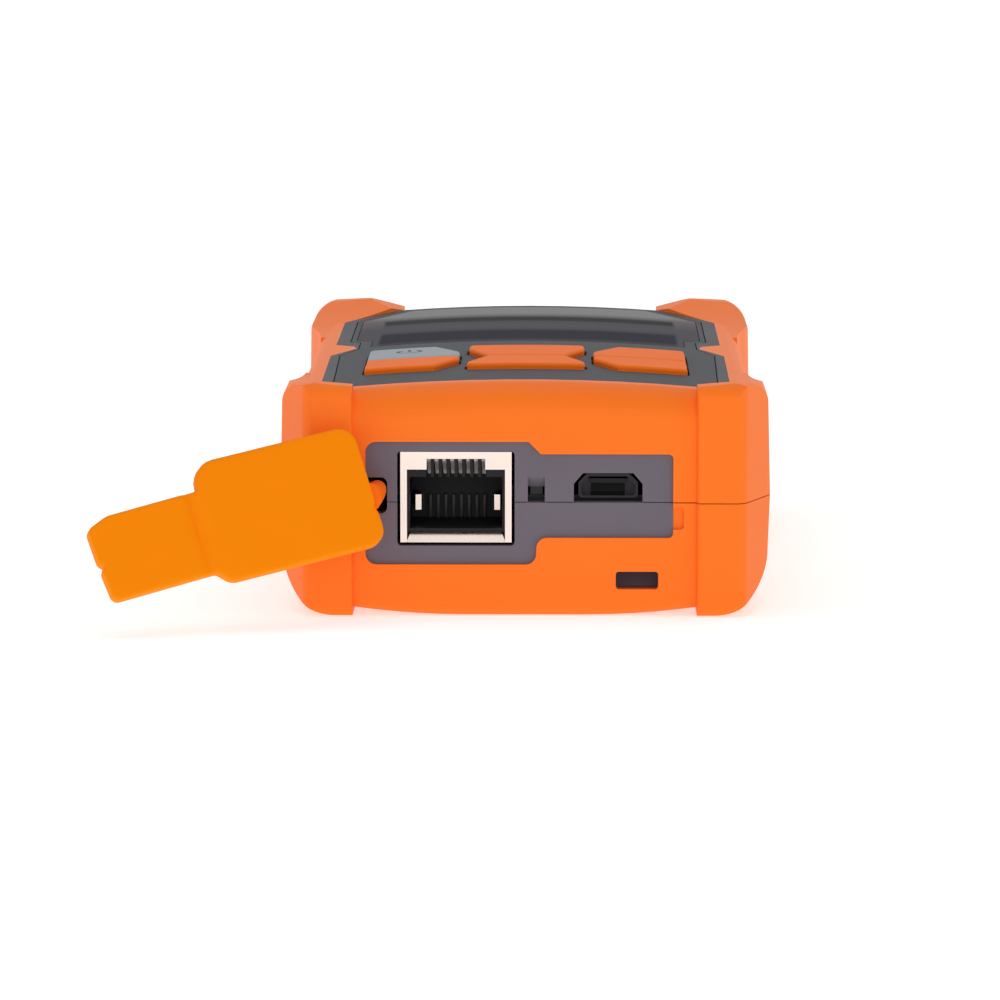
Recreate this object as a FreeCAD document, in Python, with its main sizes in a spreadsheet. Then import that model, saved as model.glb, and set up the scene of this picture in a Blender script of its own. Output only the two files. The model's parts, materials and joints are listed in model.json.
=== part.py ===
"""Pocket optical power meter with a network socket, a charging socket and a strapped rubber cap.

Frame: +Z out of the display, the sockets' end faces -Y, +X is right when the sockets face the reader.
The origin is under the middle of the case, in the plane of the spine and pads that it lies on.
"""
import FreeCAD, Part
import math
import os

import Sketcher

DRIVING_SIZES = {
    # the moulded case: a core with a crowned face and back, and four corner bumpers
    "core_length": 112.0,       # end face to end face
    "waist_width": 60.6,        # across the core at the parting line
    "parting_height": 14.8,
    "crown_height": 30.2,       # top of the face on the centre line
    "crown_radius": 260.0,
    "spine_width": 16.0,        # flat strip along the back
    "belly_radius": 102.0,      # back, from the spine out to the sides
    "face_draft": 0.4,
    "back_draft": 0.7,
    "seam": 0.12,               # open line between the two skins, and round the port pad
    "face_corner": 2.6,
    "back_corner": 5.0,
    "near_round": 4.0,          # top edge of the socket end
    "far_round": 6.0,
    "end_edge": 1.5,
    "skin": 1.6,                # soft orange skin
    "wall": 1.8,                # hard grey shell under it
    "bumper_flare": 1.7,        # past the waist, each side
    "bumper_proud": 1.0,
    "bumper_inner": 22.3,       # where the socket end's bumpers start, from the centre line
    "bumper_top": 30.3,
    "far_inner": 18.6,
    "far_top": 30.9,
    "facet_width": 4.4,         # corner facet, across; a bumper's front ends where it starts
    "facet_run": 9.0,           # corner facet, along the case
    "bumper_side": 3.5,         # straight stretch at full width
    "taper_run": 21.0,          # full width back to the waist
    "bumper_back_corner": 7.6,
    "bumper_edge_round": 0.5,   # front inner edges
    "pad_run": 13.5,            # flat pad under each bumper
    # the dark face plate and the window in the skin round it
    "face_start": 6.0,          # from the socket end's face
    "wing_start": 3.0,
    "face_margin": 6.5,         # from the far end's face
    "face_rim": 3.5,            # skin beside the opening, at the waist
    "tongue_reach": 3.1,        # skin points that reach in at the waist
    "tongue_near": 48.5,
    "tongue_tip": 55.0,
    "tongue_far": 63.0,
    "corner_cut_run": 10.5,     # far corners of the opening are cut off
    "corner_cut_half": 19.0,
    "plate_rim": 1.8,           # skin that laps the plate, each side
    "plate_gap": 0.15,
    "plate_floor": 27.5,        # underside of the face plate
    "deck_floor": 25.5,         # underside of the shell's deck below it
    "glass_rim": 1.0,           # plate beside the window, each side
    "glass_floor": 28.4,
    "glass_start": 55.8,
    "view_half": 20.4,
    "view_start": 58.0,
    "view_length": 28.0,
    # keys
    "key_proud": 0.8,
    "key_gap": 0.3,
    "key_near": 18.9,
    "key_split": 29.9,
    "key_far": 42.7,
    "key_outer": 21.4,
    "key_inner": 9.0,
    "key_middle": 7.8,
    "key_slant": 3.2,
    "key_slant_run": 7.5,
    "middle_slant": 2.6,
    "middle_slant_run": 8.0,
    "key_flange": 0.45,
    "key_flange_thickness": 0.8,
    "key_drop": 0.5,            # travel
    "key_edge": 0.45,
    "key_corner": 0.7,          # in plan
    # boards
    "board_thickness": 1.4,
    "mat_clear": 47.0,          # near board screws, past the keypad mat
    "main_board_floor": 21.6,
    "main_board_side_gap": 1.7,
    "main_board_neck": 20.0,
    "main_board_near": 12.2,
    "main_board_shoulder": 16.5,
    "main_board_end_gap": 11.6,
    "mat_rim": 0.45,            # past the keys' flanges
    "mat_thickness": 0.5,
    "mat_end": 1.4,             # past the rows of keys
    "dome_radius": 2.4,
    "port_board_top": 15.3,
    "port_board_half": 19.0,
    "port_board_start": 3.2,
    "port_board_notch": 14.0,
    "port_board_end": 28.0,
    # grey port pad in the socket end
    "pad_recess": 0.5,
    "pad_left": 20.6,
    "pad_step": 1.5,
    "pad_right": 19.2,
    "pad_low": 6.7,
    "pad_low_right": 10.2,
    "pad_top": 22.7,
    "pad_top_right": 21.1,
    "pad_corner": 1.4,
    "pad_small_corner": 0.6,
    # network socket
    "jack_across": -8.9,
    "jack_height": 15.4,
    "jack_width": 14.4,
    "jack_tall": 11.8,
    "jack_start": 0.8,
    "jack_length": 13.0,
    "jack_clearance": 0.4,
    "shield_sheet": 0.3,
    "shield_strip": 0.85,
    "shield_lip": 1.35,
    "shield_lip_depth": 0.9,    # the lower lip leans in by this much
    "shield_relief": 0.5,       # cut at an angle from each end of the lip
    "shield_tab": 2.3,
    "comb_half": 3.8,
    "plug_width": 12.0,
    "plug_floor": 11.3,
    "plug_ceiling": 18.0,
    "plug_depth": 11.4,
    "contact_pitch": 1.016,
    "contact_width": 0.45,
    "contact_sheet": 0.3,
    # charging socket
    "usb_across": 10.8,
    "usb_height": 17.0,
    "usb_width": 7.5,
    "usb_tall": 2.6,
    "usb_flare": 0.1,
    "usb_sheet": 0.25,
    "usb_start": 1.6,
    "usb_length": 5.6,
    "usb_hole_width": 8.9,
    "usb_hole_top": 18.6,
    "lamp_across": 1.5,
    "lamp_hole_width": 2.2,
    "lamp_hole_top": 18.1,
    # strap slot, lanyard eye
    "slot_left": 22.8,
    "slot_right": 17.8,
    "slot_top": 18.0,
    "slot_low": 13.3,
    "eye_left": 11.8,
    "eye_right": 17.3,
    "eye_low": 3.5,
    "eye_top": 5.8,
    "eye_depth": 6.0,
    "eye_bar": 2.9,
    "eye_wall": 1.4,
    # rubber cap on its strap
    "cap_thickness": 1.8,
    "cap_stand_off": 5.2,
    "cap_plug": 2.4,            # stud that drops into the network socket
    "cap_small_plug": 2.0,
    "cap_reach": 16.8,          # free end, from the centre line when closed
    "cap_lean": 9.0,            # of the strap's axis to the right, in degrees
    "cap_rise": 10.0,           # and upwards
    "cap_turn": 194.75,         # from square to the sockets to where it hangs, in degrees
    "cap_round": 0.6,
    "cap_fold_width": 1.8,
    "cap_fold_depth": 0.35,
    "strap_radius": 1.0,
    "strap_across": -21.0,
    "strap_height": 15.2,
    "strap_ear": 22.2,
    "strap_bulb": 1.8,
    # far end ports
    "port_across": 12.5,
    "port_height": 14.8,
    "far_pad_half": 20.0,
    "far_pad_low": 7.0,
    "far_pad_top": 22.6,
    "ferrule_bore": 2.5,
    "adapter_nose": 8.0,
    "adapter_reach": 7.0,
    "adapter_collar": 10.6,
    "adapter_flange": 14.0,
    "laser_nose": 6.6,
    "laser_reach": 5.5,
    "laser_collar": 8.6,
    "laser_flange": 11.4,
    "dust_cap_wall": 1.2,
    "dust_cap_gap": 0.15,
    "torch_hole": 5.0,
    # screws and posts
    "boss_inset": 6.5,          # from the waist's side
    "boss_near": 9.2,           # from each end's face
    "boss_far": 7.4,
    "boss_radius": 2.8,
    "screw_radius": 1.2,
    "screw_head_radius": 2.2,
    "screw_head_height": 1.6,
    "screw_sink": 2.2,
    "screw_length": 18.0,
    "screw_clearance": 0.15,
    # battery
    "cell_width": 34.0,
    "cell_length": 50.0,
    "cell_thickness": 8.0,
    "cell_pad": 0.8,
}

document = FreeCAD.newDocument("OpticalPowerMeter")
sheet = document.addObject("Spreadsheet::Sheet", "Sizes")
for row, (alias, number) in enumerate(DRIVING_SIZES.items(), start=1):
    sheet.set(f"A{row}", alias)
    sheet.set(f"B{row}", str(number))
    sheet.setAlias(f"B{row}", alias)
document.recompute()


class Size:
    """A length as a number and as the sheet's formula for it, so that sums keep both."""

    def __init__(self, number, formula=None):
        self.number = float(number)
        self.formula = formula or f"({self.number:.6f})"

    def combined(self, other, sign, number):
        return Size(number, f"({self.formula} {sign} {other.formula})")

    def __add__(self, other):
        other = as_size(other)
        return self.combined(other, "+", self.number + other.number)

    def __sub__(self, other):
        other = as_size(other)
        return self.combined(other, "-", self.number - other.number)

    def __mul__(self, other):
        other = as_size(other)
        return self.combined(other, "*", self.number * other.number)

    def __truediv__(self, other):
        other = as_size(other)
        return self.combined(other, "/", self.number / other.number)

    def __neg__(self):
        return as_size(0) - self

    def __radd__(self, other):
        return as_size(other) + self

    def __rsub__(self, other):
        return as_size(other) - self

    def __rmul__(self, other):
        return as_size(other) * self


def as_size(value):
    return value if isinstance(value, Size) else Size(value)


def root(size):
    """The square root of a size."""
    return Size(math.sqrt(size.number), f"sqrt({size.formula})")


class Cells:
    """The sheet's cells as sizes, one attribute for each alias."""

    def __getattr__(self, alias):
        return Size(DRIVING_SIZES[alias], f"Sizes.{alias}")


cell = Cells()
BLOCK = 80.0    # reach of the plain blocks that trim a piece past its own outline

# places and widths that follow from the case's own size
bumper_half = cell.waist_width / 2 + cell.bumper_flare
bumper_edge = bumper_half - cell.facet_width
face_half = cell.waist_width / 2 - cell.face_rim
plate_half = face_half - cell.plate_rim
glass_half = plate_half - cell.glass_rim
face_end = cell.core_length - cell.face_margin
corner_cut_side = face_end - cell.corner_cut_run
view_end = cell.view_start + cell.view_length


class Ring:
    """A circle in a sketch."""

    def __init__(self, across, up, radius):
        self.across, self.up, self.radius = as_size(across), as_size(up), as_size(radius)


def box_outline(low_x, high_x, low_y, high_y, corner=None):
    """A rectangle, with round corners where a radius is given."""
    low_x, high_x, low_y, high_y = map(as_size, (low_x, high_x, low_y, high_y))
    if corner is None:
        return [(low_x, low_y), (high_x, low_y), (high_x, high_y), (low_x, high_y)]
    return [
        (low_x + corner, low_y),
        (high_x - corner, low_y, corner),
        (high_x, low_y + corner),
        (high_x, high_y - corner, corner),
        (high_x - corner, high_y),
        (low_x + corner, high_y, corner),
        (low_x, high_y - corner),
        (low_x, low_y + corner, corner),
    ]


def mirrored(outline):
    """The outline on the other side of the sketch's upright axis."""
    turned = []
    for index in range(len(outline) - 1, -1, -1):
        across, up = outline[index][:2]
        before = outline[index - 1]
        turned.append((-as_size(across), up, *before[2:]))
    return turned


def both_sides(right_half):
    """A closed outline from its right half, whose ends lie on the sketch's upright axis."""
    left_half = mirrored(right_half)
    return right_half[:-1] + left_half[:-1]


def draw(sketch, outlines):
    """Draw closed outlines in a sketch and bind every corner, centre and radius to the sheet.

    A corner is (across, up), or (across, up, radius) where the stretch to the next corner is an arc
    with its centre on the left of the way there, or on the right for a negative radius.
    """
    bindings = []

    def bind(constraint, size):
        bindings.append((sketch.addConstraint(constraint), size))

    def pin(geometry, point, across, up):
        bind(Sketcher.Constraint("DistanceX", -1, 1, geometry, point, across.number), across)
        bind(Sketcher.Constraint("DistanceY", -1, 1, geometry, point, up.number), up)

    upward = FreeCAD.Vector(0, 0, 1)
    for outline in outlines:
        if isinstance(outline, Ring):
            centre = FreeCAD.Vector(outline.across.number, outline.up.number, 0)
            index = sketch.addGeometry(Part.Circle(centre, upward, outline.radius.number), False)
            pin(index, 3, outline.across, outline.up)
            bind(Sketcher.Constraint("Radius", index, outline.radius.number), outline.radius)
            continue
        corners = [(as_size(c[0]), as_size(c[1]), *c[2:]) for c in outline]
        stretches = []
        for corner, following in zip(corners, corners[1:] + corners[:1]):
            start = FreeCAD.Vector(corner[0].number, corner[1].number, 0)
            end = FreeCAD.Vector(following[0].number, following[1].number, 0)
            if len(corner) == 2:
                index = sketch.addGeometry(Part.LineSegment(start, end), False)
                stretches.append((index, 1, 2))
                continue
            bend = as_size(corner[2])
            turn = 1 if bend.number > 0 else -1
            radius = bend if turn > 0 else -bend
            way = end - start
            rise = math.sqrt(max(radius.number ** 2 - (way.Length / 2) ** 2, 0.0))
            left = FreeCAD.Vector(-way.y, way.x, 0).normalize()
            centre = (start + end) * 0.5 + left * (rise * turn)
            first, last = (start, end) if turn > 0 else (end, start)
            angles = [math.atan2(p.y - centre.y, p.x - centre.x) for p in (first, last)]
            circle = Part.Circle(centre, upward, radius.number)
            index = sketch.addGeometry(Part.ArcOfCircle(circle, *angles), False)
            stretches.append((index, 1, 2) if turn > 0 else (index, 2, 1))
            bind(Sketcher.Constraint("Radius", index, radius.number), radius)
        for corner, stretch, before in zip(corners, stretches, stretches[-1:] + stretches[:-1]):
            sketch.addConstraint(
                Sketcher.Constraint("Coincident", before[0], before[2], stretch[0], stretch[1])
            )
            pin(stretch[0], stretch[1], corner[0], corner[1])
    for index, size in bindings:
        sketch.setExpression(f"Constraints[{index}]", size.formula)


class Piece:
    """A PartDesign body built from sketches on its own planes."""

    # a sketch's normal runs along +Z, -Y or +X on these planes
    NORMALS = {"XY": 1, "XZ": -1, "YZ": 1}

    def __init__(self, label):
        self.body = document.addObject("PartDesign::Body", label)
        self.body.Label = label
        self.body.AllowCompound = True

    def origin_part(self, role):
        return next(part for part in self.body.Origin.OriginFeatures if part.Role == role)

    def sketch(self, plane, place, *outlines):
        sketch = self.body.newObject("Sketcher::SketchObject", f"{self.body.Label}_{plane}")
        sketch.AttachmentSupport = [(self.origin_part(f"{plane}_Plane"), "")]
        sketch.MapMode = "FlatFace"
        place = as_size(place) if self.NORMALS[plane] > 0 else -as_size(place)
        sketch.setExpression("AttachmentOffset.Base.z", place.formula)
        draw(sketch, outlines)
        return sketch

    def extruded(self, kind, reverse_for, plane, start, end, outlines):
        start, end = as_size(start), as_size(end)
        feature = self.body.newObject(kind, f"{self.body.Label}_{kind.split('::')[1]}")
        feature.Profile = self.sketch(plane, start, *outlines)
        feature.Reversed = plane in reverse_for
        feature.setExpression("Length", (end - start).formula)
        return feature

    def pad(self, plane, start, end, *outlines):
        """Add material between two places along +Z, +Y or +X."""
        return self.extruded("PartDesign::Pad", ("XZ",), plane, start, end, outlines)

    def pocket(self, plane, start, end, *outlines):
        """Take material away between two places along +Z, +Y or +X."""
        return self.extruded("PartDesign::Pocket", ("XY", "YZ"), plane, start, end, outlines)

    def edges(self, chosen):
        document.recompute()
        shape = self.body.Tip.Shape
        return [f"Edge{i}" for i, edge in enumerate(shape.Edges, start=1) if chosen(edge)]

    def dressed(self, kind, bound_property, size, chosen):
        names = self.edges(chosen)
        base = self.body.Tip
        feature = self.body.newObject(f"PartDesign::{kind}", f"{self.body.Label}_{kind}")
        feature.Base = (base, names)
        feature.setExpression(bound_property, as_size(size).formula)
        return feature

    def fillet(self, radius, chosen):
        return self.dressed("Fillet", "Radius", radius, chosen)

    def chamfer(self, size, chosen):
        return self.dressed("Chamfer", "Size", size, chosen)

    def row(self, features, axis, length, count):
        """Repeat features along an axis, over a length from first to last."""
        document.recompute()
        pattern = self.body.newObject("PartDesign::LinearPattern", f"{self.body.Label}_Row")
        pattern.Originals = features
        pattern.Direction = (self.origin_part(f"{axis}_Axis"), [""])
        pattern.setExpression("Length", as_size(length).formula)
        pattern.Occurrences = count
        self.body.Tip = pattern
        return pattern

    def mirror(self, features, plane):
        document.recompute()
        feature = self.body.newObject("PartDesign::Mirrored", f"{self.body.Label}_Mirrored")
        feature.Originals = features
        feature.MirrorPlane = (self.origin_part(f"{plane}_Plane"), [""])
        self.body.Tip = feature
        return feature


def fuse(label, *objects):
    feature = document.addObject("Part::MultiFuse", label)
    feature.Shapes = [getattr(item, "body", item) for item in objects]
    feature.Refine = False
    return feature


def common(label, *objects):
    feature = document.addObject("Part::MultiCommon", label)
    feature.Shapes = [getattr(item, "body", item) for item in objects]
    return feature


def cut(label, base, *tools):
    feature = document.addObject("Part::Cut", label)
    feature.Base = getattr(base, "body", base)
    feature.Tool = fuse(f"{label}_tools", *tools) if len(tools) > 1 else getattr(tools[0], "body", tools[0])
    return feature


nodes = {}


def node(label, feature):
    """Keep a finished sub-part under its own name."""
    feature = getattr(feature, "body", feature)
    feature.Label = label
    nodes[label] = feature
    return feature


def along(distance):
    """A place along the case, from its distance behind the socket end's face."""
    return as_size(distance) - cell.core_length / 2


def is_upright(edge):
    box = edge.BoundBox
    return box.XLength < 1e-3 and box.YLength < 1e-3


def is_along_y(edge):
    box = edge.BoundBox
    return box.XLength < 1e-3 and box.ZLength < 1e-3 and box.YLength > 1.0


# --- the case's outer form, and the same form set in for the shells and the room inside ---


def crown(across, inset=0):
    """Height of the crowned face at a distance from the centre line."""
    across, radius = as_size(across), cell.crown_radius - inset
    return cell.crown_height - cell.crown_radius + root(radius * radius - across * across)


def belly(across, inset=0):
    """Height of the back outside its flat spine."""
    out, radius = as_size(across) - cell.spine_width / 2, cell.belly_radius - inset
    return cell.belly_radius - root(radius * radius - out * out)


def core_section(inset):
    """Across the whole core: flat spine, belly, drafted sides and crown."""
    half = cell.waist_width / 2 - inset
    top_half, back_half = half - cell.face_draft, half - cell.back_draft
    crown_radius, belly_radius = cell.crown_radius - inset, cell.belly_radius - inset
    face, back = crown(top_half, inset), belly(back_half, inset)
    spine = cell.spine_width / 2
    return [
        (-spine, inset),
        (spine, inset, belly_radius),
        (back_half, back),
        (half, cell.parting_height),
        (top_half, face, crown_radius),
        (-top_half, face),
        (-half, cell.parting_height),
        (-back_half, back, belly_radius),
    ]


def middle_section():
    """The part of the core's section that shows between the bumpers, and a little more."""
    half, spine = cell.bumper_inner + 2.5, cell.spine_width / 2
    return [
        (-spine, 0),
        (spine, 0, cell.belly_radius),
        (half, belly(half)),
        (half, crown(half), cell.crown_radius),
        (-half, crown(half)),
        (-half, belly(half), cell.belly_radius),
    ]


def long_core(label, inset, end, face_corner, back_corner):
    """The core's section along the case, with its long corners rounded."""
    piece = Piece(label)
    piece.pad("XZ", -end, end, core_section(as_size(inset)))
    half, split = (cell.waist_width / 4).number, cell.parting_height.number

    def long_edge(edge, on_face):
        place = edge.CenterOfMass
        return is_along_y(edge) and abs(place.x) > half and abs(place.z - split) > 1 and (
            (place.z > split) == on_face
        )

    piece.fillet(face_corner, lambda edge: long_edge(edge, True))
    piece.fillet(back_corner, lambda edge: long_edge(edge, False))
    return piece


def bumper(label, end, inner, top, ramp):
    """A pair of corner bumpers: section, plan and side view each trim the same block.

    end is -1 at the socket end and 1 at the far end. ramp is how far the top falls to its inner side.
    """
    half, front = bumper_half, cell.core_length / 2 + cell.bumper_proud
    back_corner, face_corner = cell.bumper_back_corner, cell.face_corner + 0.4
    side = half - 0.3
    run = cell.facet_run + cell.bumper_side + cell.taper_run
    waist = cell.waist_width / 2 - 0.6
    piece = Piece(label)
    section = [
        (inner, 0),
        (side - back_corner, 0, back_corner),
        (side, back_corner),
        (half, cell.parting_height),
        (side, top - 0.3 - face_corner, face_corner),
        (side - face_corner, top - 0.3),
        (inner + 5, top),
        (inner, top - ramp),
    ]
    starts = {-1: (-front, -front + run), 1: (front - run, front)}
    pads = [piece.pad("XZ", *starts[end], section)]

    # plan: the corner facet, the straight side and the double curve back to the waist
    step = (half - waist) / 2
    sweep = (step * step + cell.taper_run * cell.taper_run / 4) / (2 * step)
    facet_end = front - cell.facet_run - 0.6
    straight_end = facet_end - cell.bumper_side
    nose = 1.2
    plan = [
        (bumper_edge, -front - 1),
        (half + 3, -front - 1),
        (half + 3, -front + run + 1),
        (waist, -front + run + 1),
        (waist, -straight_end + cell.taper_run, sweep),
        (half - step, -straight_end + cell.taper_run / 2, -sweep),
        (half, -straight_end),
        (half, -facet_end),
        (bumper_edge + nose, -front + 0.6 + nose / 2, -2 * nose),
        (bumper_edge, -front),
    ]
    ease = cell.bumper_edge_round
    inner_edge = [
        (inner - 1, -front - 1),
        (inner + ease, -front - 1),
        (inner + ease, -front, -ease),
        (inner, -front + ease),
        (inner - 1, -front + ease),
    ]
    # side view: round front edges, a top that sinks into the core and a pad that does the same below
    fall = top - 28.2
    fall_run = run - 6.5
    dip = (fall_run * fall_run + fall * fall) / (2 * fall)
    rise = as_size(2.4)
    rise_run = run - 2 - cell.pad_run
    lift = (rise_run * rise_run + rise * rise) / (2 * rise)
    above = [
        (-front - 1, top - 2),
        (-front, top - 2, -2),
        (-front + 2, top),
        (-front + 3.5, top, dip),
        (-front + 3.5 + fall_run, top - fall),
        (-front + run + 1, top - fall),
        (-front + run + 1, top + 3),
        (-front - 1, top + 3),
    ]
    below = [
        (-front - 1, -3),
        (-front + run + 1, -3),
        (-front + run + 1, rise),
        (-front + 2 + cell.pad_run + rise_run, rise, lift),
        (-front + 2 + cell.pad_run, 0),
        (-front + 1.5, 0, -1.5),
        (-front, 1.5),
        (-front - 1, 1.5),
    ]
    if end > 0:
        plan, inner_edge = (
            reversed_outline([(x, -y, *rest) for x, y, *rest in outline])
            for outline in (plan, inner_edge)
        )
        above, below = mirrored(above), mirrored(below)
    pads.append(piece.pocket("XY", -2, cell.crown_height + 6, plan, inner_edge))
    pads.append(piece.pocket("YZ", inner - 1, half + 3, above, below))
    if end > 0:
        cut_side, cut_end = along(corner_cut_side), along(face_end) + 1
        pads.append(
            piece.pocket(
                "XY", cell.parting_height, cell.crown_height + 6,
                [
                    (inner - 1, front - run - 1),
                    (face_half, front - run - 1),
                    (face_half, cut_side),
                    (inner, cut_end),
                    (inner - 1, cut_end),
                ],
            )
        )

    piece.mirror(pads, "YZ")
    return piece


def reversed_outline(outline):
    """The same outline drawn the other way round, for one that was turned over end for end."""
    turned = []
    for index in range(len(outline) - 1, -1, -1):
        corner, before = outline[index], outline[index - 1]
        turned.append((*corner[:2], *before[2:]))
    return turned


skin, shell_depth = cell.skin, cell.skin + cell.wall
core_end = cell.core_length / 2

# the bumpers close the corners, so the full width stops inside them and the middle runs to the ends
wide_core = long_core("wide_core", 0, core_end - 8, cell.face_corner, cell.back_corner)
middle_core = Piece("middle_core")
middle_core.pad("XZ", -core_end, core_end, middle_section())


def end_edge(edge, side, on_face):
    """Whether an edge crosses the top or the bottom of one end."""
    box, split = edge.BoundBox, cell.parting_height.number
    at_end = abs(edge.CenterOfMass.y - side * core_end.number) < 1e-3
    return at_end and box.YLength < 1e-3 and box.ZLength < 3 and (edge.CenterOfMass.z > split) == on_face


middle_core.fillet(cell.near_round, lambda edge: end_edge(edge, -1, True))
middle_core.fillet(cell.far_round, lambda edge: end_edge(edge, 1, True))
middle_core.fillet(cell.end_edge, lambda edge: end_edge(edge, -1, False) or end_edge(edge, 1, False))


def inner_form(label, inset, face_corner, back_corner):
    """The core set in all round, its upper end edges cut off where the skin over them is round."""
    end = core_end - inset
    piece = long_core(label, inset, end, face_corner, back_corner)
    bevel, top = cell.far_round / 2 - 0.4, cell.crown_height - inset
    bevels = [
        [(side * (end - bevel), top), (side * end, top - bevel), (side * (end + 2), top + 2)]
        for side in (1, -1)
    ]
    piece.pocket("YZ", -BLOCK, BLOCK, bevels[0], bevels[1][::-1])
    return piece


shell_core = inner_form("shell_core", skin, cell.face_corner - skin, cell.back_corner - skin)
room = inner_form("room", shell_depth, cell.face_corner / 4, cell.back_corner - shell_depth)
near_bumpers = bumper("near_bumpers", -1, cell.bumper_inner, cell.bumper_top, 0.4)
far_bumpers = bumper("far_bumpers", 1, cell.far_inner, cell.far_top, 1.4)


def block(label, low, high):
    piece = Piece(label)
    piece.pad("XY", low, high, box_outline(-BLOCK, BLOCK, -BLOCK, BLOCK))
    return piece


def slab(label, plane, start, end, *outlines):
    """A piece that is one pad."""
    piece = Piece(label)
    piece.pad(plane, start, end, *outlines)
    return piece


upper = block("upper_half", cell.parting_height, BLOCK)
lower = block("lower_half", -BLOCK, cell.parting_height)
upper_skin = block("upper_skin", cell.parting_height + cell.seam / 2, BLOCK)
lower_skin = block("lower_skin", -BLOCK, cell.parting_height - cell.seam / 2)


# --- the port pad at the socket end and the plain one at the far end ---

near_face, far_face = -cell.core_length / 2, cell.core_length / 2


def pad_outline():
    """Outline of the grey port pad: a tall part round the network socket and a low part beside it."""
    big, small = cell.pad_corner, cell.pad_small_corner
    bevel = cell.pad_top - cell.pad_top_right
    return [
        (-cell.pad_left + big, cell.pad_low),
        (cell.pad_step - big, cell.pad_low, big),
        (cell.pad_step, cell.pad_low + big),
        (cell.pad_step, cell.pad_low_right - big, -big),
        (cell.pad_step + big, cell.pad_low_right),
        (cell.pad_right - small, cell.pad_low_right, small),
        (cell.pad_right, cell.pad_low_right + small),
        (cell.pad_right, cell.pad_top_right - small, small),
        (cell.pad_right - small, cell.pad_top_right),
        (cell.pad_step + small, cell.pad_top_right),
        (cell.pad_step + small - bevel, cell.pad_top),
        (-cell.pad_left + big, cell.pad_top, big),
        (-cell.pad_left, cell.pad_top - big),
        (-cell.pad_left, cell.pad_low + big, big),
    ]


def far_pad_outline():
    return box_outline(
        -cell.far_pad_half, cell.far_pad_half, cell.far_pad_low, cell.far_pad_top, cell.pad_corner
    )


near_pad = slab("near_pad", "XZ", near_face + cell.pad_recess, near_face + shell_depth, pad_outline())
far_pad = slab("far_pad", "XZ", far_face - shell_depth, far_face - cell.pad_recess, far_pad_outline())
near_window = slab("near_window", "XZ", near_face - 3, near_face + skin, pad_outline())
far_window = slab("far_window", "XZ", far_face - skin, far_face + 3, far_pad_outline())

jack_left = cell.jack_across - cell.jack_width / 2 - cell.jack_clearance
jack_right = cell.jack_across + cell.jack_width / 2 + cell.jack_clearance
jack_hole = slab(
    "jack_hole", "XZ", near_face - 3, near_face + shell_depth + 1,
    box_outline(
        jack_left, jack_right,
        cell.jack_height - cell.jack_tall / 2 - cell.jack_clearance,
        cell.jack_height + cell.jack_tall / 2 + 0.1, 0.5,
    ),
)
usb_half = cell.usb_hole_width / 2
usb_hole = slab(
    "usb_hole", "XZ", near_face - 3, near_face + shell_depth + 1,
    [
        (cell.usb_across - usb_half, cell.parting_height),
        (cell.usb_across + usb_half, cell.parting_height),
        (cell.usb_across + usb_half, cell.usb_hole_top - 1.4),
        (cell.usb_across + usb_half - 1.2, cell.usb_hole_top),
        (cell.usb_across - usb_half + 1.2, cell.usb_hole_top),
        (cell.usb_across - usb_half, cell.usb_hole_top - 1.4),
    ],
)
lamp_half = cell.lamp_hole_width / 2
lamp_hole = Piece("lamp_hole")
lamp_hole.pad(
    "YZ", cell.lamp_across - lamp_half, cell.lamp_across + lamp_half,
    [
        (near_face - 3, cell.parting_height),
        (near_face + shell_depth + 1, cell.parting_height),
        (near_face + shell_depth + 1, cell.parting_height + 1.9),
        (near_face + cell.pad_recess + 1.4, cell.parting_height + 1.9),
        (near_face + cell.pad_recess, cell.lamp_hole_top),
        (near_face - 3, cell.lamp_hole_top),
    ],
)
strap_slot = slab(
    "strap_slot", "XZ", near_face - 3, near_face + shell_depth + 1,
    box_outline(-cell.slot_left, -cell.slot_right, cell.slot_low, cell.slot_top, 0.8),
)
pad_seam = slab(
    "pad_seam", "XZ", near_face - 3, near_face + cell.pad_recess + 0.4,
    box_outline(
        -BLOCK, BLOCK, cell.parting_height - cell.seam / 2, cell.parting_height + cell.seam / 2
    ),
)
side_notch = slab(
    "side_notch", "XZ", near_face - 3, near_face + 0.6,
    box_outline(cell.pad_right - 0.5, cell.pad_right + 1.4, 11.3, 14.2, 0.5),
)

# lanyard eye: a slot in the end that meets one in the back, round a bar
eye_back = near_face + cell.eye_depth
eye_end = slab(
    "eye_end", "XZ", near_face - 3, eye_back,
    box_outline(cell.eye_left, cell.eye_right, cell.eye_low, cell.eye_top, 0.4),
)
eye_under = slab(
    "eye_under", "XY", -3, cell.eye_top,
    box_outline(cell.eye_left, cell.eye_right, near_face + cell.eye_bar, eye_back, 0.4),
)
eye_case = slab(
    "eye_case", "XZ", near_face + skin, eye_back + cell.eye_wall,
    box_outline(
        cell.eye_left - cell.eye_wall, cell.eye_right + cell.eye_wall, 3.0, cell.eye_top + cell.eye_wall
    ),
)

# ports in the far end, each held in a round seat on the parting line
adapter_seat = slab(
    "adapter_seat", "XZ", far_face - shell_depth - 1, far_face + 3,
    Ring(-cell.port_across, cell.port_height, cell.adapter_collar / 2 + 0.05),
)
laser_seat = slab(
    "laser_seat", "XZ", far_face - shell_depth - 1, far_face + 3,
    Ring(cell.port_across, cell.port_height, cell.laser_collar / 2 + 0.05),
)
torch_seat = slab(
    "torch_seat", "XZ", far_face - shell_depth - 1, far_face + 3,
    Ring(0, cell.port_height, cell.torch_hole / 2 + 0.05),
)
port_holes = [
    jack_hole, usb_hole, lamp_hole, strap_slot, pad_seam, adapter_seat, laser_seat, torch_seat,
]

boss_across = cell.waist_width / 2 - cell.boss_inset
boss_places = [
    (side * boss_across, place)
    for place in (cell.boss_near, cell.core_length - cell.boss_far) for side in (-1, 1)
]


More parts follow.
